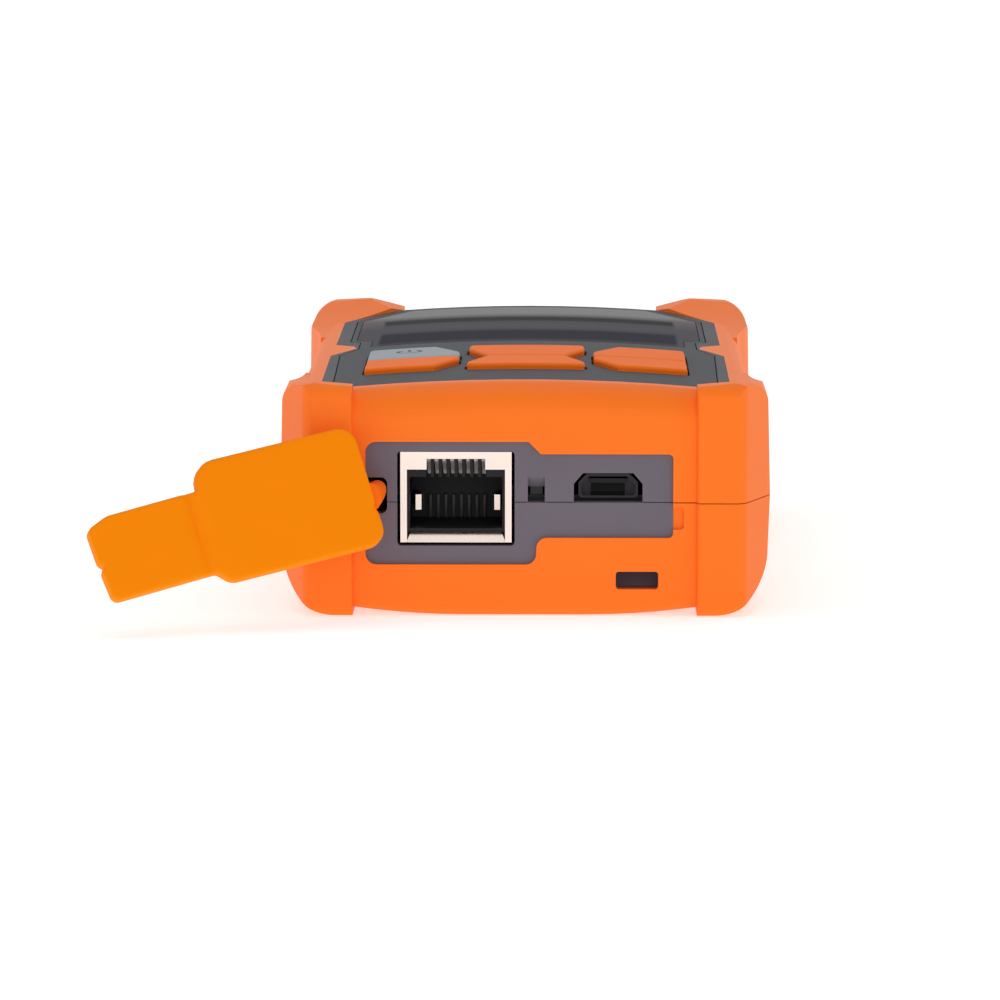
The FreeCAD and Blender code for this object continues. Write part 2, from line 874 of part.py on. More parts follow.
def at_bosses(radius):
    return [Ring(across, along(place), radius) for across, place in boss_places]


# --- face opening, face plate, window ---


def face_outline():
    """Opening in the skin's face: stepped at the bumpers, pinched at the waist, far corners cut off."""
    half = face_half
    right = [
        (0, along(cell.face_start)),
        (cell.bumper_inner, along(cell.face_start)),
        (cell.bumper_inner, along(cell.wing_start)),
        (half, along(cell.wing_start)),
        (half + 0.2, along(cell.tongue_near)),
        (half - cell.tongue_reach, along(cell.tongue_tip)),
        (half - cell.tongue_reach + 0.4, along(cell.tongue_tip) + 3.4),
        (half, along(cell.tongue_far)),
        (half, along(corner_cut_side)),
        (cell.corner_cut_half, along(face_end) + 1),
        (0, along(face_end) + 1),
    ]
    return both_sides(right)


def plate_outline(gap=0):
    """Face plate inside the opening. A gap makes the recess that it drops into."""
    half, tongue = plate_half + gap, face_half - cell.tongue_reach - 0.4 + gap
    right = [
        (0, along(cell.face_start) + 0.2 - gap),
        (cell.bumper_inner + 0.2 - gap, along(cell.face_start) + 0.2 - gap),
        (cell.bumper_inner + 0.2 - gap, along(cell.wing_start) + 0.2 - gap),
        (half, along(cell.wing_start) + 0.2 - gap),
        (half + 0.6, along(cell.tongue_near) - 1 + gap),
        (tongue, along(cell.tongue_tip) - 1 + gap),
        (tongue, along(cell.tongue_far) - gap),
        (half - 0.2, along(cell.tongue_far) + 2 - gap),
        (half - 0.2, along(corner_cut_side) - 1),
        (cell.corner_cut_half - 1 + gap, along(face_end) + gap),
        (0, along(face_end) + gap),
    ]
    return both_sides(right)


def above_crown(lift=0):
    """Everything over the crowned face, to be cut from what must lie flush with it."""
    half = bumper_half + 1
    rise = as_size(lift)
    return [
        (half, crown(half) + rise, cell.crown_radius),
        (-half, crown(half) + rise),
        (-half, cell.crown_height + 12),
        (half, cell.crown_height + 12),
    ]


def crowned(label, floor, outline, lift=0):
    """A plate with a flat underside and a crowned top that lies flush with the face."""
    piece = Piece(label)
    piece.pad("XY", floor, cell.crown_height + 4, outline)
    piece.pocket("XZ", near_face - 3, far_face + 3, above_crown(lift))
    return piece


def view_outline(margin=0):
    half = cell.view_half + margin
    return box_outline(-half, half, along(cell.view_start) - margin, along(view_end) + margin, 1.0)


def glass_outline(gap=0):
    half = glass_half + gap
    right = [
        (0, along(cell.glass_start) - gap),
        (face_half - cell.tongue_reach - 2 + gap, along(cell.glass_start) - gap),
        (face_half - cell.tongue_reach - 2 + gap, along(cell.tongue_far) - gap),
        (half, along(cell.tongue_far) + 3 - gap),
        (half, along(corner_cut_side) - 2 + gap),
        (cell.corner_cut_half - 2 + gap, along(face_end) - 1 + gap),
        (0, along(face_end) - 1 + gap),
    ]
    return both_sides(right)


def outer_key(near, far, slant_at_near, margin=0):
    """Key of the right-hand column: straight on the outside, slanted off on the inside at one end."""
    low, high = along(near) - margin, along(far) + margin
    left, right = cell.key_inner - margin, cell.key_outer + margin
    slant, run = cell.key_slant, cell.key_slant_run
    if slant_at_near:
        return [(left + slant, low), (right, low), (right, high), (left, high), (left, low + run)]
    return [(left, low), (right, low), (right, high), (left + slant, high), (left, high - run)]


def middle_key(near, far, slant_at_near, margin=0):
    """Key of the middle column, narrowed towards the other key of its pair."""
    low, high = along(near) - margin, along(far) + margin
    half, slant, run = cell.key_middle + margin, cell.middle_slant, cell.middle_slant_run
    if slant_at_near:
        right = [(0, low), (half - slant, low), (half, low + run), (half, high), (0, high)]
    else:
        right = [(0, low), (half, low), (half, high - run), (half - slant, high), (0, high)]
    return both_sides(right)


half_gap = cell.key_gap / 2
near_row, far_row = (cell.key_near, cell.key_split - half_gap), (cell.key_split + half_gap, cell.key_far)


def flange_outline(left, right, row):
    """Rim that keeps a key under the deck: wider all round than the key, but not towards its pair."""
    side, end = cell.key_flange, cell.key_flange + cell.key_gap
    low = along(row[0]) - end if row is near_row else along(row[0])
    high = along(row[1]) if row is near_row else along(row[1]) + end
    return box_outline(left - side, right + side, low, high)


right_column, middle_column = (cell.key_inner, cell.key_outer), (-cell.key_middle, cell.key_middle)
left_column = (-cell.key_outer, -cell.key_inner)
KEYS = {
    "key_power": (left_column, far_row, lambda grow: mirrored(outer_key(*far_row, False, grow))),
    "key_near_left": (left_column, near_row, lambda grow: mirrored(outer_key(*near_row, True, grow))),
    "key_far_middle": (middle_column, far_row, lambda grow: middle_key(*far_row, True, grow)),
    "key_near_middle": (middle_column, near_row, lambda grow: middle_key(*near_row, False, grow)),
    "key_far_right": (right_column, far_row, lambda grow: outer_key(*far_row, False, grow)),
    "key_near_right": (right_column, near_row, lambda grow: outer_key(*near_row, True, grow)),
}


def key_hole(name, outline):
    hole = slab(f"{name}_hole", "XY", cell.deck_floor - 1, cell.crown_height + 2, outline(cell.key_gap))
    hole.fillet(cell.key_corner + cell.key_gap, is_upright)
    return hole


key_holes = [key_hole(name, outline) for name, (column, row, outline) in KEYS.items()]

fascia = crowned("fascia_plate", cell.plate_floor, plate_outline())
fascia.pocket("XY", cell.glass_floor, cell.crown_height + 4, glass_outline(0.1))
fascia.pocket("XY", cell.plate_floor - 1, cell.crown_height + 4, view_outline())
node("fascia", cut("fascia_cut", fascia, *key_holes))

node("display_window", crowned("window_pane", cell.glass_floor, glass_outline()))
node(
    "display_panel",
    slab("panel", "XY", cell.plate_floor - 2.2, cell.plate_floor - 0.05, view_outline(1.2)),
)
carrier_floor = cell.main_board_floor + cell.board_thickness
carrier = slab("carrier", "XY", carrier_floor, cell.plate_floor - 2.2, view_outline(1.8))
carrier.pocket("XY", carrier_floor + 1.2, cell.plate_floor, view_outline(0.6))
node("display_carrier", carrier)

rim_top = cell.deck_floor - 0.15
for name, (column, row, outline) in KEYS.items():
    key = slab(f"{name}_cap", "XY", rim_top - 0.1, cell.crown_height + 4, outline(0))
    key.fillet(cell.key_corner, is_upright)
    key.pocket("XZ", near_face, far_face, above_crown(cell.key_proud))
    key.fillet(
        cell.key_edge, lambda edge: edge.CenterOfMass.z > (cell.crown_height - 2).number
        and edge.BoundBox.ZLength < 2,
    )
    key.pad("XY", rim_top - cell.key_flange_thickness, rim_top, flange_outline(*column, row))
    node(name, key)

# --- the two skins and the two shells ---

case_form = fuse("case_form", wide_core, middle_core, near_bumpers, far_bumpers)
face_block = slab("face_block", "XY", cell.deck_floor, cell.crown_height + 4, face_outline())
front_skin = common("front_skin", case_form, upper_skin)
node(
    "front_grip",
    cut("front_grip_cut", front_skin, shell_core, face_block, near_window, far_window, strap_slot),
)
well_radius = cell.screw_head_radius + 0.5
screw_wells = [
    slab(f"screw_well_{i}", "XY", -3, cell.parting_height - 1, ring)
    for i, ring in enumerate(at_bosses(well_radius))
]
back_skin = common("back_skin", case_form, lower_skin)
node(
    "rear_grip",
    cut(
        "rear_grip_cut", back_skin, shell_core, near_window, far_window, strap_slot, side_notch,
        eye_end, eye_under, eye_case, *screw_wells,
    ),
)

shell = cut("shell", shell_core, room)
deck = crowned("deck", cell.deck_floor, face_outline())
plate_recess = slab(
    "plate_recess", "XY", cell.plate_floor, cell.crown_height + 4, plate_outline(cell.plate_gap)
)
view_hole = slab("view_hole", "XY", cell.deck_floor - 1, cell.plate_floor + 1, view_outline(1.4))
front_bosses = [
    slab(f"front_boss_{i}", "XY", cell.parting_height, cell.deck_floor + 0.5, ring)
    for i, ring in enumerate(at_bosses(cell.boss_radius))
]
carrier_floor = cell.main_board_floor + cell.board_thickness
main_board_half = cell.waist_width / 2 - shell_depth - cell.main_board_side_gap
main_board_far = cell.core_length - shell_depth - cell.main_board_end_gap
board_screw_places = [
    (side * (main_board_half - 2), place)
    for place in (cell.mat_clear, main_board_far - 5) for side in (-1, 1)
]
board_posts = [
    slab(
        f"board_post_{i}", "XY", carrier_floor, cell.deck_floor + 0.5,
        Ring(across, along(place), 1.7),
    )
    for i, (across, place) in enumerate(board_screw_places)
]
pilot = cell.screw_radius + 0.05
front_pilots = [
    slab(f"front_pilot_{i}", "XY", cell.parting_height - 1, cell.parting_height + 8, ring)
    for i, ring in enumerate(at_bosses(pilot))
]
board_pilots = [
    slab(f"board_pilot_{i}", "XY", carrier_floor - 1, carrier_floor + 2.2, Ring(across, along(place), 0.85))
    for i, (across, place) in enumerate(board_screw_places)
]
front_walls = common("front_walls", fuse("walls_and_pads", shell, near_pad, far_pad), upper)
node(
    "front_housing",
    cut(
        "front_housing_cut", fuse("front_solid", front_walls, deck, *front_bosses, *board_posts),
        plate_recess, view_hole, *key_holes, *port_holes, *front_pilots, *board_pilots,
    ),
)

post_floor = skin + 0.2
rear_bosses = [
    slab(f"rear_boss_{i}", "XY", post_floor, cell.parting_height, ring)
    for i, ring in enumerate(at_bosses(cell.boss_radius + 0.6))
]
head_seat = cell.screw_sink + cell.screw_head_height
rear_wells = [
    slab(f"rear_well_{i}", "XY", -3, head_seat, ring) for i, ring in enumerate(at_bosses(well_radius))
]
rear_clearances = [
    slab(f"rear_clearance_{i}", "XY", head_seat - 1, cell.parting_height + 1, ring)
    for i, ring in enumerate(at_bosses(cell.screw_radius + cell.screw_clearance))
]
port_post_places = [(-12.0, 24.0), (13.0, 24.0), (13.0, 11.0)]
port_board_floor = cell.port_board_top - cell.board_thickness
port_posts = [
    slab(f"port_post_{i}", "XY", post_floor + 0.6, port_board_floor, Ring(across, along(place), 2.0))
    for i, (across, place) in enumerate(port_post_places)
]
port_pilots = [
    slab(
        f"port_pilot_{i}", "XY", port_board_floor - 4, port_board_floor + 1,
        Ring(across, along(place), 0.85),
    )
    for i, (across, place) in enumerate(port_post_places)
]
rear_walls = common("rear_walls", fuse("rear_walls_all", shell, near_pad, far_pad), lower)
rear_inside = common("rear_inside", fuse("rear_posts", eye_case, *rear_bosses, *port_posts), shell_core)
node(
    "rear_housing",
    cut(
        "rear_housing_cut", fuse("rear_solid", rear_walls, rear_inside),
        eye_end, eye_under, *port_holes, *rear_wells, *rear_clearances, *port_pilots,
    ),
)


# --- what is inside ---

board_top = carrier_floor
main_board = slab(
    "board", "XY", cell.main_board_floor, board_top,
    both_sides([
        (0, along(cell.main_board_near)),
        (cell.main_board_neck, along(cell.main_board_near)),
        (cell.main_board_neck, along(cell.main_board_shoulder)),
        (main_board_half, along(cell.main_board_shoulder)),
        (main_board_half, along(main_board_far)),
        (0, along(main_board_far)),
    ]),
)
main_board.pocket(
    "XY", cell.main_board_floor - 1, board_top + 1,
    *[Ring(across, along(place), 0.95) for across, place in board_screw_places],
)
node("main_board", main_board)

mat_top = board_top + cell.mat_thickness
mat_half = cell.key_outer + cell.key_flange + cell.mat_rim
mat = slab(
    "mat", "XY", board_top, mat_top,
    box_outline(
        -mat_half, mat_half, along(cell.key_near - cell.mat_end), along(cell.key_far + cell.mat_end), 1.0
    ),
)
rows = [(cell.key_near + cell.key_split) / 2, (cell.key_split + cell.key_far) / 2]
columns = [-(cell.key_inner + cell.key_outer) / 2, as_size(0), (cell.key_inner + cell.key_outer) / 2]
mat.pad(
    "XY", mat_top, rim_top - cell.key_flange_thickness - cell.key_drop - 0.05,
    *[Ring(across, along(place), cell.dome_radius) for across in columns for place in rows],
)
node("keypad_mat", mat)


def screws(label, places, seat, head_radius, head_height, shank_radius, length):
    """Screws side by side in one node, heads down with the heads' undersides at the seat, shanks up."""
    solids = []
    for index, (across, place) in enumerate(places):
        head = document.addObject("Part::Cylinder", f"{label}_head_{index}")
        shank = document.addObject("Part::Cylinder", f"{label}_shank_{index}")
        parts = ((head, head_radius, head_height, seat - head_height), (shank, shank_radius, length, seat))
        for solid, radius, tall, low in parts:
            solid.setExpression("Radius", as_size(radius).formula)
            solid.setExpression("Height", as_size(tall).formula)
            solid.setExpression("Placement.Base.x", as_size(across).formula)
            solid.setExpression("Placement.Base.y", along(place).formula)
            solid.setExpression("Placement.Base.z", as_size(low).formula)
        solids.append(fuse(f"{label}_{index}", head, shank))
    group = document.addObject("Part::Compound", f"{label}_group")
    group.Links = solids
    return node(label, group)


screws(
    "case_screws", boss_places, head_seat, cell.screw_head_radius, cell.screw_head_height,
    cell.screw_radius, cell.screw_length,
)
screws("board_screws", board_screw_places, cell.main_board_floor, 1.7, 1.1, 0.85, 3.0)

board_edge = along(cell.port_board_notch)
port_board = slab(
    "port_board_plate", "XY", port_board_floor, cell.port_board_top,
    [
        (jack_right + 0.2, along(cell.port_board_start + 1.2)),
        (cell.port_board_half, along(cell.port_board_start + 1.2)),
        (cell.port_board_half, along(cell.port_board_end)),
        (-cell.port_board_half, along(cell.port_board_end)),
        (-cell.port_board_half, board_edge),
        (jack_right + 0.2, board_edge),
    ],
)
port_board.pocket(
    "XY", port_board_floor - 1, cell.port_board_top + 1,
    *[Ring(across, along(place), 0.95) for across, place in port_post_places],
)
node("port_board", port_board)
header_half = 2.54 * 4
header = slab(
    "header", "XY", cell.port_board_top, cell.main_board_floor,
    box_outline(
        -header_half, header_half, along(cell.port_board_end - 3.4), along(cell.port_board_end - 0.8)
    ),
)
node("board_header", header)

cell_floor = shell_depth + cell.cell_pad
battery_start, battery_end = along(34.0), along(34.0) + cell.cell_length
battery = slab(
    "battery", "XY", cell_floor, cell_floor + cell.cell_thickness,
    box_outline(-cell.cell_width / 2, cell.cell_width / 2, battery_start, battery_end),
)
battery.fillet(1.2, lambda edge: True)
node("battery_cell", battery)
node(
    "battery_pad",
    slab(
        "adhesive", "XY", shell_depth, cell_floor,
        box_outline(-cell.spine_width / 2, cell.spine_width / 2, battery_start + 4, battery_end - 4),
    ),
)


# --- network socket ---

def jack_box(shrink):
    """Section of the network socket's can, set in all round."""
    half, tall = cell.jack_width / 2 - shrink, cell.jack_tall / 2 - shrink
    middle, height = cell.jack_across, cell.jack_height
    return box_outline(middle - half, middle + half, height - tall, height + tall)


jack_front = near_face + cell.jack_start
jack_back = jack_front + cell.jack_length
can = slab("can", "XZ", jack_front, jack_back, jack_box(0))
can.pocket("XZ", jack_front + cell.shield_sheet, jack_back + 1, jack_box(cell.shield_sheet))
across, height = cell.jack_across, cell.jack_height
mouth_half = cell.jack_width / 2 - cell.shield_strip
mouth_low, mouth_top = height - cell.jack_tall / 2 + cell.shield_lip, height + cell.jack_tall / 2
can.pocket(
    "XZ", jack_front - 1, jack_front + cell.shield_sheet + 0.1,
    [
        (across - mouth_half, mouth_low),
        (across + mouth_half, mouth_low),
        (across + mouth_half, mouth_top - cell.shield_tab),
        (across + cell.comb_half, mouth_top - cell.shield_tab),
        (across + cell.comb_half, mouth_top - 0.9),
        (across - cell.comb_half, mouth_top - 0.9),
        (across - cell.comb_half, mouth_top - cell.shield_tab),
        (across - mouth_half, mouth_top - cell.shield_tab),
    ],
)
jack_low, lip_back = height - cell.jack_tall / 2, jack_front + cell.shield_lip_depth
can.pocket(
    "XZ", jack_front - 1, jack_front + cell.shield_sheet + 0.1,
    box_outline(across - mouth_half, across + mouth_half, jack_low - 1, mouth_low + 0.1),
)
lip_half = mouth_half - 0.05
can.pad(
    "YZ", across - lip_half, across + lip_half,
    [
        (jack_front, jack_low),
        (jack_front + 1.2, jack_low),
        (jack_front + 1.2, jack_low + cell.shield_sheet),
        (jack_front + 0.4, jack_low + cell.shield_sheet),
        (lip_back + cell.shield_sheet, mouth_low),
        (lip_back, mouth_low),
    ],
)
right_relief = [
    (across + lip_half, jack_low + cell.shield_sheet),
    (across + lip_half + 0.03, jack_low + cell.shield_sheet),
    (across + lip_half + 0.03, mouth_low + 0.1),
    (across + lip_half - cell.shield_relief, mouth_low + 0.1),
]
left_relief = reversed_outline([(across * 2 - x, z) for x, z in right_relief])
can.pocket("XZ", jack_front - 1, lip_back + 0.5, left_relief, right_relief)
node("network_socket_shield", can)

sheet_gap = cell.shield_sheet + 0.05
insert_front, insert_back = jack_front + sheet_gap, jack_back - 0.2
insert = slab("insert", "XZ", insert_front, insert_back, jack_box(sheet_gap))
plug_half = cell.plug_width / 2
insert.pocket(
    "XZ", insert_front - 1, insert_front + cell.plug_depth,
    box_outline(across - plug_half, across + plug_half, cell.plug_floor, cell.plug_ceiling),
)
insert.pocket(
    "XZ", insert_front - 1, lip_back + cell.shield_sheet + 0.05,
    box_outline(jack_left, jack_right, jack_low - 1, mouth_low + 0.05),
)
comb_slot_half = cell.contact_width / 2 + 0.08
first_contact = across - cell.contact_pitch * 3.5
comb_top = cell.plug_ceiling + 2.7
comb = insert.pocket(
    "YZ", first_contact - comb_slot_half, first_contact + comb_slot_half,
    box_outline(insert_front - 1, insert_back + 1, cell.plug_ceiling - 0.5, comb_top),
)
insert.row([comb], "X", cell.contact_pitch * 7, 8)
node("network_socket_body", insert)

blade_half = cell.contact_width / 2
blade_top, blade_sheet = comb_top - 0.1, cell.contact_sheet
tail = jack_back + 0.5
blade = Piece("blades")
first_blade = blade.pad(
    "YZ", first_contact - blade_half, first_contact + blade_half,
    [
        (insert_front + 0.3, blade_top - 0.5),
        (insert_front + 6.5, cell.plug_ceiling - 0.35),
        (insert_front + 7.6, cell.plug_ceiling - 0.1),
        (insert_front + 7.6, cell.plug_ceiling + 0.2),
        (insert_front + 6.4, cell.plug_ceiling - 0.05),
        (insert_front + 0.9, blade_top - blade_sheet),
        (tail - blade_sheet, blade_top - blade_sheet),
        (tail - blade_sheet, cell.port_board_top),
        (tail, cell.port_board_top),
        (tail, blade_top),
        (insert_front + 0.5, blade_top),
    ],
)
blade.row([first_blade], "X", cell.contact_pitch * 7, 8)
node("network_socket_contacts", blade)


# --- charging socket and its lamp ---

def usb_section(grow, low):
    """Section of the charging socket: flat below, its upper corners cut off."""
    half, top = cell.usb_width / 2 + grow, cell.usb_height + cell.usb_tall / 2 + grow
    middle, corner = cell.usb_across, cell.usb_tall * 0.42
    return [
        (middle - half + 0.3, low),
        (middle + half - 0.3, low),
        (middle + half, low + 0.3),
        (middle + half, top - corner),
        (middle + half - corner, top),
        (middle - half + corner, top),
        (middle - half, top - corner),
        (middle - half, low + 0.3),
    ]


usb_low = cell.port_board_top
usb_front = near_face + cell.usb_start
usb_back = usb_front + cell.usb_length
usb = slab("usb_can", "XZ", usb_front, usb_back, usb_section(0, usb_low))
usb.pad("XZ", usb_front, usb_front + 0.6, usb_section(cell.usb_flare, usb_low))
usb.pocket(
    "XZ", usb_front - 1, usb_back - cell.usb_sheet,
    usb_section(-cell.usb_sheet, usb_low + cell.usb_sheet),
)
node("usb_socket_shell", usb)
tongue = slab(
    "tongue_plate", "XZ", usb_front + 0.8, usb_back - cell.usb_sheet,
    box_outline(
        cell.usb_across - 2.6, cell.usb_across + 2.6, cell.usb_height + 0.1, cell.usb_height + 0.7
    ),
)
tongue.pad(
    "XZ", usb_back - cell.usb_sheet - 1, usb_back - cell.usb_sheet,
    box_outline(
        cell.usb_across - 2.2, cell.usb_across + 2.2,
        usb_low + cell.usb_sheet, cell.usb_height + cell.usb_tall / 2 - cell.usb_sheet,
    ),
)
node("usb_socket_tongue", tongue)
lamp = slab(
    "lamp_body", "XY", cell.port_board_top, cell.port_board_top + 1.1,
    box_outline(cell.lamp_across - 0.8, cell.lamp_across + 0.8, along(4.7), along(6.3)),
)
node("charge_lamp", lamp)


# --- far end: detector, fault locator and torch ---

def port_turning(label, across, stations, bores=()):
    """A turned piece of a port, from the outside in.

    Each station is where a radius starts, as a distance behind the far face. Each bore is
    (start, end, radius).
    """
    piece = Piece(label)
    for (start, radius), (end, _) in zip(stations, stations[1:]):
        piece.pad("XZ", far_face - end, far_face - start, Ring(across, cell.port_height, radius))
    for start, end, radius in bores:
        piece.pocket("XZ", far_face - end, far_face - start, Ring(across, cell.port_height, radius))
    return piece


wall_depth = shell_depth
adapter = port_turning(
    "adapter", -cell.port_across,
    [
        (-cell.adapter_reach, cell.adapter_nose / 2),
        (cell.pad_recess - 0.6, cell.adapter_collar / 2),
        (wall_depth + 0.1, cell.adapter_flange / 2),
        (wall_depth + 1.5, 0),
    ],
    [
        (-cell.adapter_reach - 1, wall_depth + 2, cell.ferrule_bore / 2),
        (wall_depth - 2.0, wall_depth + 2, 2.8),
    ],
)
adapter.chamfer(
    0.4, lambda edge: edge.CenterOfMass.y > (far_face + cell.adapter_reach).number - 1e-3
)
node("detector_adapter", adapter)
node(
    "detector_diode",
    port_turning(
        "diode", -cell.port_across,
        [(wall_depth - 1.8, 2.35), (wall_depth + 1.6, 2.7), (wall_depth + 2.6, 0)],
    ),
)
laser_port = port_turning(
    "laser_tube", cell.port_across,
    [
        (-cell.laser_reach, cell.laser_nose / 2),
        (cell.pad_recess - 0.6, cell.laser_collar / 2),
        (wall_depth + 0.1, cell.laser_flange / 2),
        (wall_depth + 1.5, 0),
    ],
    [
        (-cell.laser_reach - 1, wall_depth + 2, cell.ferrule_bore / 2),
        (wall_depth - 2.0, wall_depth + 2, 2.8),
    ],
)
laser_port.chamfer(
    0.4, lambda edge: edge.CenterOfMass.y > (far_face + cell.laser_reach).number - 1e-3
)
node("laser_port", laser_port)
node(
    "laser_module",
    port_turning(
        "laser_diode", cell.port_across,
        [(wall_depth - 1.8, 2.7), (wall_depth + 1.6, 3.4), (wall_depth + 9.6, 0)],
    ),
)
node(
    "torch_lens",
    port_turning(
        "lens", 0,
        [(0.3, cell.torch_hole / 2), (wall_depth + 0.1, cell.torch_hole / 2 + 0.8),
         (wall_depth + 0.9, 0)],
    ),
)
node(
    "torch_lamp",
    port_turning("torch_die", 0, [(wall_depth + 1.0, 1.75), (wall_depth + 2.6, 0)]),
)


def dust_cap(label, across, nose, reach):
    """Push-on cap over a port's nose, ribbed for the fingers."""
    bore, top = nose / 2 + cell.dust_cap_gap, reach + 1.6
    cap = slab(
        f"{label}_body", "XZ", far_face + 0.3, far_face + top,
        Ring(across, cell.port_height, bore + cell.dust_cap_wall),
    )
    cap.pocket("XZ", far_face, far_face + reach + 0.3, Ring(across, cell.port_height, bore))
    cap.fillet(0.5, lambda edge: edge.CenterOfMass.y > (far_face + top).number - 1e-3)
    return node(label, cap)


dust_cap("detector_cap", -cell.port_across, cell.adapter_nose, cell.adapter_reach)
dust_cap("laser_cap", cell.port_across, cell.laser_nose, cell.laser_reach)


# --- rubber cap for the sockets, swung out on its strap ---

cap_back = near_face - cell.cap_stand_off
cap_front = cap_back - cell.cap_thickness


def cover_outline():
    """Outline of the cap where it closes the sockets: a square part, and a low part to its free end."""
    left, reach, step = -cell.pad_left, cell.cap_reach, cell.pad_step + cell.pad_small_corner
    bevel, tip = cell.pad_top - cell.pad_top_right, 0.8
    return [
        (left + 2.4, cell.pad_low),
        (cell.pad_step - 3.0, cell.pad_low, 3.0),
        (cell.pad_step, cell.pad_low + 3.0),
        (cell.pad_step, cell.pad_low_right - 0.4, -0.4),
        (cell.pad_step + 0.4, cell.pad_low_right),
        (reach - 2.9, cell.pad_low_right),
        (reach, cell.pad_low_right + 1.1),
        (reach, cell.pad_top_right - tip, tip),
        (reach - tip, cell.pad_top_right),
        (step, cell.pad_top_right),
        (step - bevel, cell.pad_top),
        (left + 2.2, cell.pad_top, 2.2),
        (left, cell.pad_top - 2.2),
        (left, cell.pad_low + 2.4, 2.4),
    ]


def cap_cover():
    """The cap square to the sockets, in the frame where it closes them."""
    piece = slab("cap_cover", "XZ", cap_front, cap_back, cover_outline())
    piece.fillet(
        cell.cap_round,
        lambda edge: edge.BoundBox.YLength < 1e-3 and edge.CenterOfMass.y < (cap_back - 0.1).number,
    )
    plug_low = cell.jack_height - cell.jack_tall / 2 + 1.9
    piece.pad(
        "XZ", cap_back, cap_back + cell.cap_plug,
        box_outline(
            cell.jack_across - 5.6, cell.jack_across + 5.6, plug_low, plug_low + 6.4, 0.8
        ),
    )
    piece.pad(
        "XZ", cap_back, cap_back + cell.cap_small_plug,
        box_outline(
            cell.usb_across - 3.1, cell.usb_across + 3.1,
            cell.usb_height - 1.2, cell.usb_height - 0.1, 0.4,
        ),
    )
    # ear that the strap grows from
    piece.pad(
        "XZ", cap_front + 0.3, cap_back,
        box_outline(
            -cell.strap_ear, -cell.pad_left + 1,
            cell.strap_height - cell.strap_bulb, cell.strap_height + cell.strap_bulb, 0.9,
        ),
    )
    # fold line across the outside, and a finger nick at the free end
    piece.pocket(
        "XZ", cap_front - 1, cap_front + cell.cap_fold_depth,
        box_outline(
            cell.pad_step + 0.6, cell.pad_step + 0.6 + cell.cap_fold_width,
            cell.pad_low_right - 1, cell.pad_top_right + 1,
        ),
    )
    piece.pocket(
        "XZ", cap_front - 1, cap_back + 1,
        Ring(cell.cap_reach + 0.6, (cell.pad_low_right + cell.pad_top_right) / 2 + 1, 1.0),
    )
    return piece


cover = cap_cover()

lean, rise = math.radians(DRIVING_SIZES["cap_lean"]), math.radians(DRIVING_SIZES["cap_rise"])
strap_axis = FreeCAD.Vector(
    math.sin(lean) * math.cos(rise), -math.cos(lean) * math.cos(rise), math.sin(rise)
)
strap_root = FreeCAD.Vector(
    DRIVING_SIZES["strap_across"], near_face.number, DRIVING_SIZES["strap_height"]
)


def on_axis(label, start, end, radius):
    """A round stretch of the strap on its own axis, from start to end outwards from the case's face."""
    solid = document.addObject("Part::Cylinder", label)
    solid.setExpression("Radius", as_size(radius).formula)
    solid.setExpression("Height", (as_size(end) - as_size(start)).formula)
    turned = FreeCAD.Rotation(FreeCAD.Vector(0, 0, 1), strap_axis)
    solid.Placement = FreeCAD.Placement(strap_root + strap_axis * as_size(start).number, turned)
    return solid


inner_face = -shell_depth - 0.6
strap = on_axis("strap", inner_face, cell.cap_stand_off + cell.cap_thickness / 2, cell.strap_radius)
bulb = on_axis("strap_bulb", inner_face - 1.0, inner_face, cell.strap_bulb)

closed = document.addObject("Part::Feature", "cover_turned")
document.recompute()
closed.Shape = cover.body.Shape.copy()
closed.Placement = FreeCAD.Placement(
    FreeCAD.Vector(0, 0, 0), FreeCAD.Rotation(strap_axis, DRIVING_SIZES["cap_turn"]), strap_root
)
node("port_cap", fuse("port_cap_whole", closed, strap, bulb))


# --- check and write ---

document.recompute()
problems = []
for item in document.Objects:
    if set(item.State) & {"Invalid", "Error"}:
        problems.append(f"{item.Label} is {item.State}")
    if item.TypeId == "PartDesign::Pocket" and item.BaseFeature is not None:
        if item.Shape.Volume >= item.BaseFeature.Shape.Volume - 1e-6:
            problems.append(f"{item.Label} takes nothing away")
for label, item in nodes.items():
    shape = item.Shape
    if shape.isNull() or not shape.isValid() or not shape.Solids:
        problems.append(f"{label} has no valid shape")
if problems:
    raise RuntimeError("; ".join(problems))

os.makedirs("parts", exist_ok=True)
for label, item in nodes.items():
    item.Shape.exportStep(f"parts/{label}.step")
    box = item.Shape.BoundBox
    print(
        f"{label:26s} solids {len(item.Shape.Solids):2d} volume {item.Shape.Volume:9.1f} "
        f"x {box.XMin:7.2f} {box.XMax:7.2f}  y {box.YMin:7.2f} {box.YMax:7.2f}  "
        f"z {box.ZMin:6.2f} {box.ZMax:6.2f}"
    )
print(f"strap axis {tuple(strap_axis)} through {tuple(strap_root)}")
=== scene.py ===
"""Looks of a pocket optical power meter: its finishes, its rubber cap and its fine detail.

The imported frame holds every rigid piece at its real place. This script dresses those pieces, models
what is soft or too fine for them, and lights the whole in a small white studio. Lengths are metres.
"""
import json
import logging
import math
from dataclasses import dataclass
from enum import Enum
from typing import Iterable, Optional, Sequence, Union

import bmesh
import bpy
from mathutils import Matrix, Vector, noise


